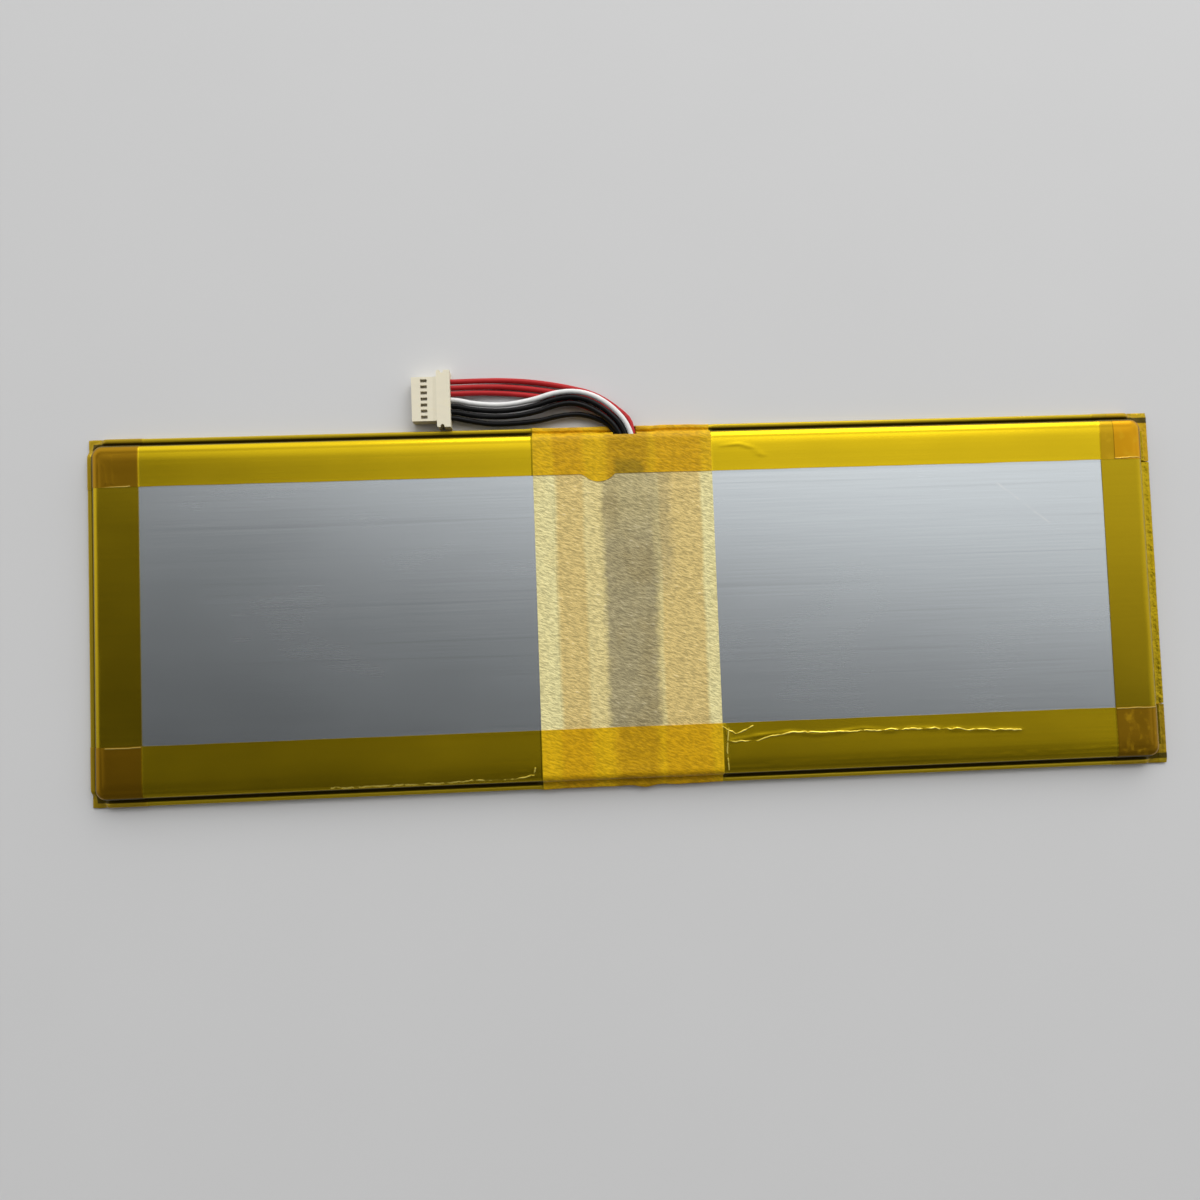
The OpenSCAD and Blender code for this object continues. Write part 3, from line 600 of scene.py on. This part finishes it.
class Finish(Nodes):
    """A material with one Principled shader. x, y and z are Object coordinates in millimetres."""

    def __init__(self, name):
        self.material = bpy.data.materials.new(name)
        super().__init__(self.material)
        shown = self.node("ShaderNodeBsdfPrincipled", {}, {})
        self.shader = shown.socket.node
        self.node("ShaderNodeOutputMaterial", {}, {0: shown})
        self.place = self.scaled(self.node("ShaderNodeTexCoord", {}, {}, "Object"), 1 / MM)
        self.x, self.y, self.z = self.parts(self.place)

    def stretched(self, scale, turn=0.0):
        """Object coordinates in millimetres, turned round Z, times a factor or one for each axis."""
        turned = self.node("ShaderNodeMapping", {"vector_type": "POINT"},
                           {"Vector": self.place, "Rotation": (0.0, 0.0, radians(turn))})
        factors = tuple(np.ones(3) * scale)
        return self.node("ShaderNodeVectorMath", {"operation": "MULTIPLY"}, {0: turned, 1: factors})

    def noise(self, scale, detail=2.0, turn=0.0, rough=0.5):
        """Noise from 0 to 1; scale is in waves per millimetre, one number or one for each axis."""
        return self.node("ShaderNodeTexNoise", {}, {
            "Vector": self.stretched(scale, turn), "Scale": 1.0, "Detail": detail, "Roughness": rough})

    def line(self, x0, y0, x1, y1, width, wander=0.0):
        """1 on the stretch between two points and 0 at width from it. wander shifts it sideways."""
        length = float(np.hypot(x1 - x0, y1 - y0))
        toward = (x1 - x0) / length, (y1 - y0) / length
        px = self.x - x0
        py = self.y - y0 + wander
        along = (px * toward[0] + py * toward[1]).highest(0.0).lowest(length)
        ax = px - along * toward[0]
        ay = py - along * toward[1]
        return 1 - ((ax * ax + ay * ay) ** 0.5).over(0.0, width)

    def lines(self, paths, width, wander, breaks):
        """Thin broken lines along paths of points; breaks from 0 to 1 takes stretches away."""
        total = 0.0
        for path in paths:
            for start, stop in zip(path[:-1], path[1:]):
                total = self.line(*start, *stop, width, wander).highest(total)
        return total * breaks

    def bump(self, height, strength, depth):
        """Normal from a height field; depth is the real height of a full step, in millimetres."""
        values = {"Height": height, "Strength": strength, "Distance": depth * MM}
        return self.node("ShaderNodeBump", {}, values)

    def set(self, **values):
        """Fills the shader's sockets, named in small letters, and gives the finished material."""
        for name, value in values.items():
            self.link(value, self.shader.inputs[name.replace("_", " ").title().replace("Ior", "IOR")])
        return self.material


def foil_finish(colour):
    """Brushed aluminium laminate: fine streaks along the pack, faint rolling lines, specks and a scratch."""
    f = Finish("brushed_foil")
    streak = f.noise((0.016, 4.5, 0.5), 4.0)
    broad = f.noise((0.02, 0.35, 0.2))
    cloud = f.noise((0.03, 0.05, 0.05))
    fine = f.noise((0.05, 9.0, 1.0))
    speck = f.noise(2.4, 1.0).over(0.77, 0.8)
    wobble = (f.noise(0.25) - 0.5) * 0.8
    scratch = f.line(*SCRATCH, 0.28, wobble) * f.noise(0.6).over(0.35, 0.6)
    rolling = f.noise((0.006, 0.9, 0.3), 1.0).over(0.62, 0.72)
    shade = f.mottled(streak, colour, 0.89, 1.08)
    shade = f.mix(broad * 0.4, shade, tone(colour, 0.88))
    shade = f.mix(rolling * 0.18, shade, tone(colour, 0.6))
    shade = f.mix((speck * 0.6).highest(scratch * 0.55), shade, (0.9, 0.9, 0.88))
    shade = f.mix(fine.over(0.3, 0.7) * 0.16, shade, tone(colour, 0.72))
    height = streak * 0.02 + broad * 0.1 + fine * 0.025
    return f.set(base_color=shade, metallic=0.97, roughness=0.23 + streak * 0.02 + cloud * 0.05,
                 normal=f.bump(height, 0.2, 0.02))


def crepe_height(f):
    """Height of crepe paper: short uneven wrinkles that lie slantwise across the band."""
    fine = f.noise((0.75, 2.3, 1.4), 3.0, 24.0, 0.6)
    coarse = f.noise((0.45, 1.3, 0.9), 2.0, 8.0, 0.55)
    return fine * 0.65 + coarse * 0.35


def film_finish(name, film, gold, outer=False):
    """Amber film: golden and shiny, with a duller lip outermost and painted shade in the groove beside it.
    The outer film is also orange and crinkled over the paper, with painted shade in the crinkles' hollows
    and painted highlights on their crests, and a painted shadow along the paper's left edge; it is brown
    where two lie on each other at the corners. Where it has lifted from the foil along a crease, and along
    its seams, pale lines are painted on as painted highlights, glints of the film's shine."""
    f = Finish(name)
    cloud = f.noise((0.05, 0.09, 0.09), 3.0)
    streak = f.noise((0.01, 1.6, 0.5), 3.0)
    shade = f.mottled(cloud, gold, 0.9, 1.08)
    shade = f.mix(streak * 0.3, shade, tone(gold, 0.8))
    metallic = 0.99 - cloud * 0.06
    rough = 0.22 + streak * 0.07
    height = cloud * 0.6 + streak * 0.15
    if outer:
        double = 1 - f.x.band(LINE_LEFT, LINE_RIGHT, 0.24)
        bubble = f.noise((0.55, 0.4, 0.5), 4.0, 20.0).over(0.52, 0.7) * f.x.over(LINE_RIGHT, LINE_RIGHT + 2)
        doubled = f.mottled(cloud, film.brown, 0.9, 1.15)
        far_right = f.x.over(100, 110) * f.y.over(0, 10)
        doubled = f.mix(far_right * 0.65, doubled, (0.58, 0.36, 0.01))
        doubled = f.mix(far_right * f.x.over(*LAYER_X) * 0.7, doubled, (0.66, 0.30, 0.006))
        doubled = f.mix(bubble * 0.3, doubled, film.orange)
        outline = f.x.band(*LAYER_X, 0.15).highest(f.x.band(*LAYER_END, 0.2)) * far_right
        doubled = f.mix(outline * 0.6, doubled, tone(film.brown, 0.3))
        shade = f.mix(double, shade, doubled)
        metallic = metallic - double * 0.08 - double * bubble * 0.3
        rough = rough + double * 0.04

        crepe = crepe_height(f)
        wander = (f.noise(0.35, 3.0) - 0.5) * 1.6
        paper = f.x.band(PAPER_X[0] + 0.02, PAPER_X[1] - 0.02, 0.16)
        x = f.x + (f.noise((0.3, 0.25, 0.3), 3.0) - 0.5) * 2.4
        on_film = x.band(INNER_X[0], -12, 1.6).highest(x.band(5.5, INNER_X[1], 1.6))
        zone = f.mix(on_film * 0.6, film.orange, tone(film.orange, (0.84, 0.72, 0.8)))
        zone = f.mix(x.band(-6.5, 4.2, 3.2) * 0.7, zone, tone(film.orange, (0.66, 0.58, 0.7)))
        solder = x.band(-4.2, 2.6, 1.8) * (f.y + wander).band(31.6, 35.4, 1.6)
        zone = f.mix(solder * 0.5, zone, (0.15, 0.12, 0.008))
        # Painted shade and highlight: over the paper, the film is darker in the crinkles' hollows and lighter
        # on their crests.
        zone = f.scaled(zone, 0.76 + crepe.over(0.36, 0.64) * 0.42)
        shade = f.mix(paper, shade, zone)
        metallic = metallic * (1 - paper)
        rough = rough + paper * 0.2
        height = height + crepe * paper * 6.0
        # Painted shadow: a dark line on the foil beside the paper's left edge, where the film steps down from
        # the paper.
        rim = f.x.band(PAPER_X[0] - 0.35, PAPER_X[0] + 0.05, 0.3)
        shade = f.mix(rim * 0.5, shade, tone(gold, 0.3))

        # Painted highlight: pale broken lines along the creases and seams, as glints of the film's shine; the
        # bump raises them as well.
        breaks = f.noise((0.4, 0.6, 0.5), 3.0).over(0.3, 0.56)
        painted_glint = f.lines(GLINT_CREASES, 0.26, wander * 0.8, breaks).highest(
            f.lines(SEAM_GLINTS, 0.22, wander * 0.3, 0.7))
        shade = f.mix(painted_glint * 0.7, shade, (0.75, 0.64, 0.2))
        metallic = metallic * (1 - painted_glint * 0.5)
        height = height + painted_glint * 2.5
    fin = f.x.over(129.9, 130.5)
    height = height + fin * f.noise((0.9, 0.7, 0.9), 3.0) * 8.0
    if outer:
        shade = f.mix(fin * 0.6, shade, tone(film.lip, 1.1))
    fold = abs(f.y).highest(END_X + HALF_W - f.x)
    low = fold.over(HALF_W - RIM_W - 0.2, HALF_W - RIM_W + 0.1) * (1 - f.x.band(*PAPER_X))
    shade = f.mix(low * 0.7, shade, film.lip)
    # Painted shade: the hollow groove beside the lip is painted nearly black, as the shade that falls in it.
    groove = low * (1 - fold.over(HALF_W - 1.3, HALF_W - 1.0))
    shade = f.mix(groove * 0.93, shade, tone(film.lip, 0.1))
    metallic = metallic * (1 - low * 0.5) * (1 - groove * 0.7)
    return f.set(base_color=shade, metallic=metallic, roughness=rough, specular_ior_level=0.12,
                 normal=f.bump(height, 0.5, 0.06))


def paper_finish(pale, tan, grey):
    """Crepe paper: cream at its edges, tan over the amber film below it, grey-brown with dark blotches over
    the gap, with painted light that makes the grey fainter towards the far side, and fine wrinkles and
    fibres all over; the wrinkles have painted shade in their valleys and painted highlights on their crests."""
    f = Finish("crepe_paper")
    crepe = crepe_height(f)
    fibre = f.noise(4.5)
    ragged = (f.noise(0.5, 4.0) - 0.5) * 2.6
    x = f.x + (f.noise((0.12, 0.05, 0.1)) - 0.5) * 1.6
    y = f.y + ragged * 2
    on_film = x.band(INNER_X[0] + 0.3, -12.4, 1.5).highest(x.band(6, INNER_X[1] - 0.4, 1.2))
    shade = f.mix(on_film * 0.9, pale, tan)
    shade = f.mix(x.band(-12.4, 6, 2.5) * 0.45, shade, tan)
    blotch = f.noise((0.16, 0.11, 0.1), 3.0)
    gap = (x + ragged).band(-7.9, 4.7, 2.2)
    # Painted light: the grey over the gap is painted fainter towards the far side, where the light falls.
    painted_far_light = y.over(12, 26) * 0.3
    shade = f.mix(gap * (0.9 - painted_far_light), shade, grey)
    shade = f.mix((x + ragged).band(4, 9, 3) * y.over(-2, 12) * 0.5, shade, grey)
    shade = f.mix(gap * blotch.over(0.48, 0.72) * 0.5, shade, tone(grey, 0.55))
    shade = f.mix(blotch.over(0.4, 0.75) * 0.2, shade, tan)
    # Painted shade and highlight: the paper is darker in the wrinkles' valleys and lighter on their crests,
    # and the highest crests are painted pale.
    shade = f.scaled(shade, 0.72 + crepe.over(0.36, 0.62) * 0.44)
    shade = f.mix(crepe.over(0.58, 0.68) * 0.3, shade, (0.88, 0.82, 0.62))
    shade = f.mix(fibre * 0.12, shade, tone(pale, 0.7))
    return f.set(base_color=shade, roughness=0.72 + fibre * 0.12, specular_ior_level=0.3,
                 normal=f.bump(crepe + fibre * 0.06, 0.9, 0.4))


def sleeve_finish(name, colour, shine):
    """Wire insulation: smooth plastic with a faint mottle and dull rubbed places."""
    f = Finish(name)
    mottle = f.noise(0.8, 3.0)
    rubbed = f.noise((0.16, 0.16, 0.3)).over(0.5, 0.7)
    shade = f.mottled(mottle, colour, 0.86, 1.1)
    shade = f.mix(rubbed * 0.12, shade, tone(colour, 1.5, 0.01))
    return f.set(base_color=shade, roughness=shine + rubbed * 0.1, specular_ior_level=0.14,
                 normal=f.bump(mottle, 0.2, 0.03))


def small_finish(name, colour, metallic, rough, grain, depth=0.02):
    """Finish of a small inner part: its colour with fine grain and soft patches."""
    f = Finish(name)
    fine = f.noise(grain, 3.0)
    patch = f.noise(grain / 9)
    shade = f.mottled(fine, colour, 0.82, 1.14)
    shade = f.mix(patch.over(0.45, 0.75) * 0.25, shade, tone(colour, 0.7))
    return f.set(base_color=shade, metallic=metallic, roughness=rough + fine * 0.12 + patch * 0.06,
                 normal=f.bump(fine, 0.35, depth))


def board_finish(colour):
    """Solder mask over copper: green with lighter tracks and a speckled weave below."""
    f = Finish("board_mask")
    track = f.node("ShaderNodeTexBrick", {"offset": 0.5}, {
        "Vector": f.stretched((0.9, 0.35, 1)), "Scale": 1.0, "Mortar Size": 0.06, "Color1": (0, 0, 0),
        "Color2": (0, 0, 0), "Mortar": (1, 1, 1)}, "Fac")
    fine = f.noise(3, 3.0)
    shade = f.mix(fine * 0.4, colour, tone(colour, 0.7))
    shade = f.mix(track * 0.5, shade, tone(colour, 1.7))
    return f.set(base_color=shade, roughness=0.3 + fine * 0.1, coat_weight=0.3,
                 normal=f.bump(track + fine * 0.2, 0.4, 0.03))


def nylon_finish(colour):
    """Moulded nylon: cream with flow marks and a faint yellowing."""
    f = Finish("cream_nylon")
    flow = f.noise((0.25, 0.9, 0.6), 3.0, 12.0)
    fine = f.noise(5)
    shade = f.mottled(flow, colour, 0.93, 1.04)
    shade = f.mix(flow.over(0.55, 0.8) * 0.3, shade, tone(colour, (0.9, 0.84, 0.66)))
    return f.set(base_color=shade, roughness=0.42 + fine * 0.1, specular_ior_level=0.45,
                 normal=f.bump(flow * 0.5 + fine, 0.2, 0.02))


def floor_finish(colour):
    """Plain pale floor with the faintest mottle."""
    f = Finish("pale_floor")
    shade = f.mottled(f.noise(0.02, 3.0), colour, 0.985, 1.015)
    return f.set(base_color=shade, roughness=0.85, specular_ior_level=0.2)


def dress(piece, material, node=None):
    """Gives a piece its finish. A new piece also takes the place of a CAD node and rides as it did."""
    piece.data.materials.clear()
    piece.data.materials.append(material)
    if node:
        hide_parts(node)
        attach(piece, "root")


# Sizes and colours that a user may change

def tint(name, place, value):
    """Colour property in linear light."""
    return FloatVectorProperty(
        name=name, description="Colour of " + place, subtype="COLOR", size=3, min=0, max=1, default=value)


def strength(name, description, value, unit="NONE"):
    """Property for how strong a light is."""
    return FloatProperty(name=name, description=description, unit=unit, default=value, min=0)


class FilmSettings(bpy.types.PropertyGroup):
    gold: tint("Film over foil", "one film on the bright foil", (0.78, 0.55, 0.012))
    ends: tint("Film over the ends", "the thicker film on both ends", (0.50, 0.35, 0.010))
    brown: tint("Doubled film", "two films on each other", (0.36, 0.19, 0.007))
    orange: tint("Film over paper", "the film on the crepe paper", (0.66, 0.40, 0.006))
    lip: tint("Film lip", "the outermost folded lip", (0.42, 0.30, 0.015))


class PaperSettings(bpy.types.PropertyGroup):
    pale: tint("Paper", "the crepe paper over foil", (0.80, 0.72, 0.35))
    tan: tint("Paper over film", "the crepe paper over the inner film", (0.68, 0.50, 0.175))
    grey: tint("Paper over the gap", "the crepe paper over the board", (0.33, 0.28, 0.16))


class PartSettings(bpy.types.PropertyGroup):
    foil: tint("Foil", "the aluminium laminate", (0.75, 0.80, 0.83))
    red: tint("Red wire", "the red insulation", (0.42, 0.018, 0.02))
    white: tint("White wire", "the white insulation", (0.72, 0.72, 0.70))
    black: tint("Black wire", "the black insulation", (0.005, 0.005, 0.005))
    nylon: tint("Connector", "the connector housing", (0.78, 0.72, 0.55))
    wire_diameter: FloatProperty(
        name="Wire diameter", description="Outer diameter of one wire", unit="LENGTH", min=0, precision=5,
        default=1.3 * MM)


class StageSettings(bpy.types.PropertyGroup):
    floor: tint("Floor", "the floor", (0.62, 0.62, 0.62))
    sky: strength("Sky", "Strength of the even light from all round", 1.0)
    window: strength("Window", "Extra light from low at the far side", 0.3)
    lamp: strength("Lamp", "Power of the soft lamp", 5.5, "POWER")


# Camera of the photograph: its place in metres, its turns in degrees round Z, Y and X, and its lens

CAMERA_PLACE = -0.01863, -0.0083, 0.22293
CAMERA_TURNS = 1.957, 2.445, -2.479
CAMERA_LENS = 27
FLOOR_SIDE = 4.0


# Operators, one for each piece or group

class BATTERY_OT_stage(bpy.types.Operator):
    """Camera, floor and light of the photograph"""
    bl_idname = "battery.stage"
    bl_label = "Stage"

    def execute(self, context):
        scene = context.scene
        settings = scene.battery_stage
        scene.view_settings.view_transform = "Standard"
        camera = bpy.data.objects.new("camera", bpy.data.cameras.new("camera"))
        scene.collection.objects.link(camera)
        z, y, x = (Matrix.Rotation(radians(turn), 3, axis) for turn, axis in zip(CAMERA_TURNS, "ZYX"))
        camera.matrix_world = Matrix.LocRotScale(
            CAMERA_PLACE, (z @ y @ x).transposed().to_quaternion(), None)
        camera.data.lens = CAMERA_LENS
        camera.data.clip_start = 0.01
        scene.camera = camera

        corners = np.array([(-1, -1, 0), (1, -1, 0), (1, 1, 0), (-1, 1, 0)])
        floor = put_mesh("floor", FLOOR_SIDE * corners / MM, np.array([[0, 1, 2, 3]]))
        dress(floor, floor_finish(settings.floor))

        lamp = bpy.data.lights.new("soft_lamp", "AREA")
        lamp.size = 0.8
        lamp.energy = settings.lamp
        holder = bpy.data.objects.new("soft_lamp", lamp)
        scene.collection.objects.link(holder)
        holder.location = 0.25, 0.8, 0.6
        holder.rotation_euler = (-holder.location).to_track_quat("-Z", "Y").to_euler()
        self.sky(scene, settings.sky, settings.window)
        return {"FINISHED"}

    def sky(self, scene, even, window):
        """World light: bright at the far side, dimmer at the near side, and dark overhead towards the near
        left, a place found by the slopes of the direction, x over z and y over z. Shiny faces see at
        most a white, and the camera an even grey."""
        world = bpy.data.worlds.new("studio")
        scene.world = world
        w = Nodes(world)
        toward = w.node("ShaderNodeTexCoord", {}, {}, "Generated")
        x, y, z = w.parts(toward)
        height = z.highest(0.02)
        slope_x = x / height
        slope_y = y / height
        rise = slope_x * 0.22 + slope_y
        above = rise.over(-0.2, 0.05) * 0.1 + rise.over(0.05, 0.24) * 0.72 + rise.over(0.28, 0.6) * 0.5 + 0.06
        above = above * (slope_x.over(-0.48, -0.15) * 0.4 + 0.6) * (1 - slope_x.over(0.4, 0.65) * 0.15)
        overhead = 1 - ((slope_x * slope_x + slope_y * slope_y) ** 0.5).over(0.75, 1.15)
        side = y.over(-0.5, 0.4) * 1.2 + 0.12
        light = ((above - side) * overhead + side) * even + y.over(0.25, 0.8) * window
        glossy = w.node("ShaderNodeLightPath", {}, {}, "Is Glossy Ray")
        camera = w.node("ShaderNodeLightPath", {}, {}, "Is Camera Ray")
        light = light + (light.lowest(1.05) - light) * glossy
        light = light + (0.6 - light) * camera
        shine = w.node("ShaderNodeBackground", {}, {"Color": (1, 1, 1), "Strength": light})
        w.node("ShaderNodeOutputWorld", {}, {0: shine})


class BATTERY_OT_wires(bpy.types.Operator):
    """Seven wires from the slit in the film to the connector, and the connector's finish"""
    bl_idname = "battery.wires"
    bl_label = "Wires and connector"

    def execute(self, context):
        settings = context.scene.battery_parts
        nodes = frame["nodes"]
        dress(nodes["connector"], nylon_finish(settings.nylon))
        dress(nodes["contacts"], small_finish("tinned_bronze", (0.62, 0.58, 0.5), 0.95, 0.3, 4))
        dress(nodes["wire_joints"], small_finish("solder", (0.6, 0.6, 0.61), 0.9, 0.28, 3))
        sleeves = {
            name: sleeve_finish(name + "_sleeve", getattr(settings, name), shine)
            for name, shine in (("red", 0.38), ("white", 0.42), ("black", 0.36))}
        for node, route in ROUTES.items():
            sleeve = node.split("_")[1]
            points = wire_line(route)
            line = bpy.data.curves.new(node.replace("wire", "lead"), "CURVE")
            line.dimensions = "3D"
            line.bevel_depth = settings.wire_diameter / 2
            line.bevel_resolution = 5
            line.use_fill_caps = True
            spline = line.splines.new("POLY")
            spline.points.add(len(points) - 1)
            spline.points.foreach_set("co", np.column_stack([points, np.ones(len(points))]).ravel())
            spline.use_smooth = True
            lead = bpy.data.objects.new(line.name, line)
            context.scene.collection.objects.link(lead)
            dress(lead, sleeves[sleeve], node)
        return {"FINISHED"}


class BATTERY_OT_cells(bpy.types.Operator):
    """Foil of the two pouch cells"""
    bl_idname = "battery.cells"
    bl_label = "Cells"

    def execute(self, context):
        foil = foil_finish(context.scene.battery_parts.foil)
        for name in ("cell_left", "cell_right"):
            dress(frame["nodes"][name], foil)
        return {"FINISHED"}


class BATTERY_OT_end_films(bpy.types.Operator):
    """Amber film over both ends, with the fin at the right end"""
    bl_idname = "battery.end_films"
    bl_label = "End films"

    def execute(self, context):
        film = context.scene.battery_film
        finish = film_finish("amber_film_end", film, film.ends)
        dress(end_film("end_film_left", -1), finish, "film_left")
        dress(end_film("end_film_right", 1), finish, "film_right")
        return {"FINISHED"}


class BATTERY_OT_side_films(bpy.types.Operator):
    """Amber film over both long sides, over the paper and round the corners"""
    bl_idname = "battery.side_films"
    bl_label = "Side films"

    def execute(self, context):
        film = context.scene.battery_film
        finish = film_finish("amber_film_side", film, film.gold, outer=True)
        dress(side_film("side_film_back", 1, LINE_BACK, BACK_CREASES), finish, "film_back")
        dress(side_film("side_film_front", -1, LINE_FRONT, FRONT_CREASES), finish, "film_front")
        return {"FINISHED"}


class BATTERY_OT_paper(bpy.types.Operator):
    """Crepe paper band and the amber film below it"""
    bl_idname = "battery.paper"
    bl_label = "Paper band"

    def execute(self, context):
        paper = context.scene.battery_paper
        film = context.scene.battery_film
        dress(paper_surface("crepe_band"), paper_finish(paper.pale, paper.tan, paper.grey),
              "paper_band")
        dress(inner_surface("board_film"), film_finish("amber_film_inner", film, film.gold),
              "inner_film")
        return {"FINISHED"}


class BATTERY_OT_inner_parts(bpy.types.Operator):
    """Finishes of the board, its parts, the tabs and the insulation in the gap"""
    bl_idname = "battery.inner_parts"
    bl_label = "Inner parts"

    def execute(self, context):
        nodes = frame["nodes"]
        chip = small_finish("chip_black", (0.03, 0.03, 0.032), 0, 0.5, 6)
        nickel = small_finish("nickel_tab", (0.6, 0.58, 0.53), 0.95, 0.3, 2)
        aluminium = small_finish("aluminium_tab", (0.72, 0.73, 0.75), 0.95, 0.35, 2)
        kraft = small_finish("kraft_paper", (0.42, 0.28, 0.13), 0, 0.8, 5, 0.06)
        chips = "switch_chip_1", "switch_chip_2", "control_chip", "sense_resistor", "chip_resistors"
        for names, material in (
                (("board",), board_finish((0.012, 0.08, 0.035))), (chips, chip),
                (("chip_capacitors",), small_finish("ceramic_tan", (0.42, 0.3, 0.17), 0, 0.45, 6)),
                (("thermistor",), small_finish("ceramic_dark", (0.05, 0.05, 0.055), 0, 0.5, 6)),
                (("tab_left_minus", "tab_right_minus"), nickel),
                (("tab_left_plus", "tab_right_plus"), aluminium),
                (("seal_paper_left", "seal_paper_right"), kraft)):
            for name in names:
                dress(nodes[name], material)
        return {"FINISHED"}


class BATTERY_PT_panel(bpy.types.Panel):
    """Lists the steps that build the battery"""
    bl_label = "Flat tablet battery"
    bl_idname = "BATTERY_PT_panel"
    bl_space_type = "VIEW_3D"
    bl_region_type = "UI"
    bl_category = "Battery"

    def draw(self, context):
        for operator in OPERATORS:
            self.layout.operator(operator.bl_idname)
        for group in GROUPS:
            settings = getattr(context.scene, group)
            for name in settings.__annotations__:
                self.layout.prop(settings, name)


OPERATORS = (
    BATTERY_OT_stage, BATTERY_OT_wires, BATTERY_OT_cells, BATTERY_OT_end_films, BATTERY_OT_side_films,
    BATTERY_OT_paper, BATTERY_OT_inner_parts)
GROUPS = {
    "battery_film": FilmSettings, "battery_paper": PaperSettings, "battery_parts": PartSettings,
    "battery_stage": StageSettings}


def register():
    """Registers the settings, the operators and the panel."""
    for name, group in GROUPS.items():
        bpy.utils.register_class(group)
        setattr(bpy.types.Scene, name, PointerProperty(type=group))
    for kind in (*OPERATORS, BATTERY_PT_panel):
        bpy.utils.register_class(kind)


def unregister():
    """Takes them out again."""
    for kind in (BATTERY_PT_panel, *reversed(OPERATORS)):
        bpy.utils.unregister_class(kind)
    for name, group in GROUPS.items():
        delattr(bpy.types.Scene, name)
        bpy.utils.unregister_class(group)


def main():
    """Builds the whole scene."""
    register()
    bpy.ops.battery.stage()
    bpy.ops.battery.wires()
    bpy.ops.battery.cells()
    bpy.ops.battery.end_films()
    bpy.ops.battery.side_films()
    bpy.ops.battery.paper()
    bpy.ops.battery.inner_parts()


if __name__ == "__main__":
    main()
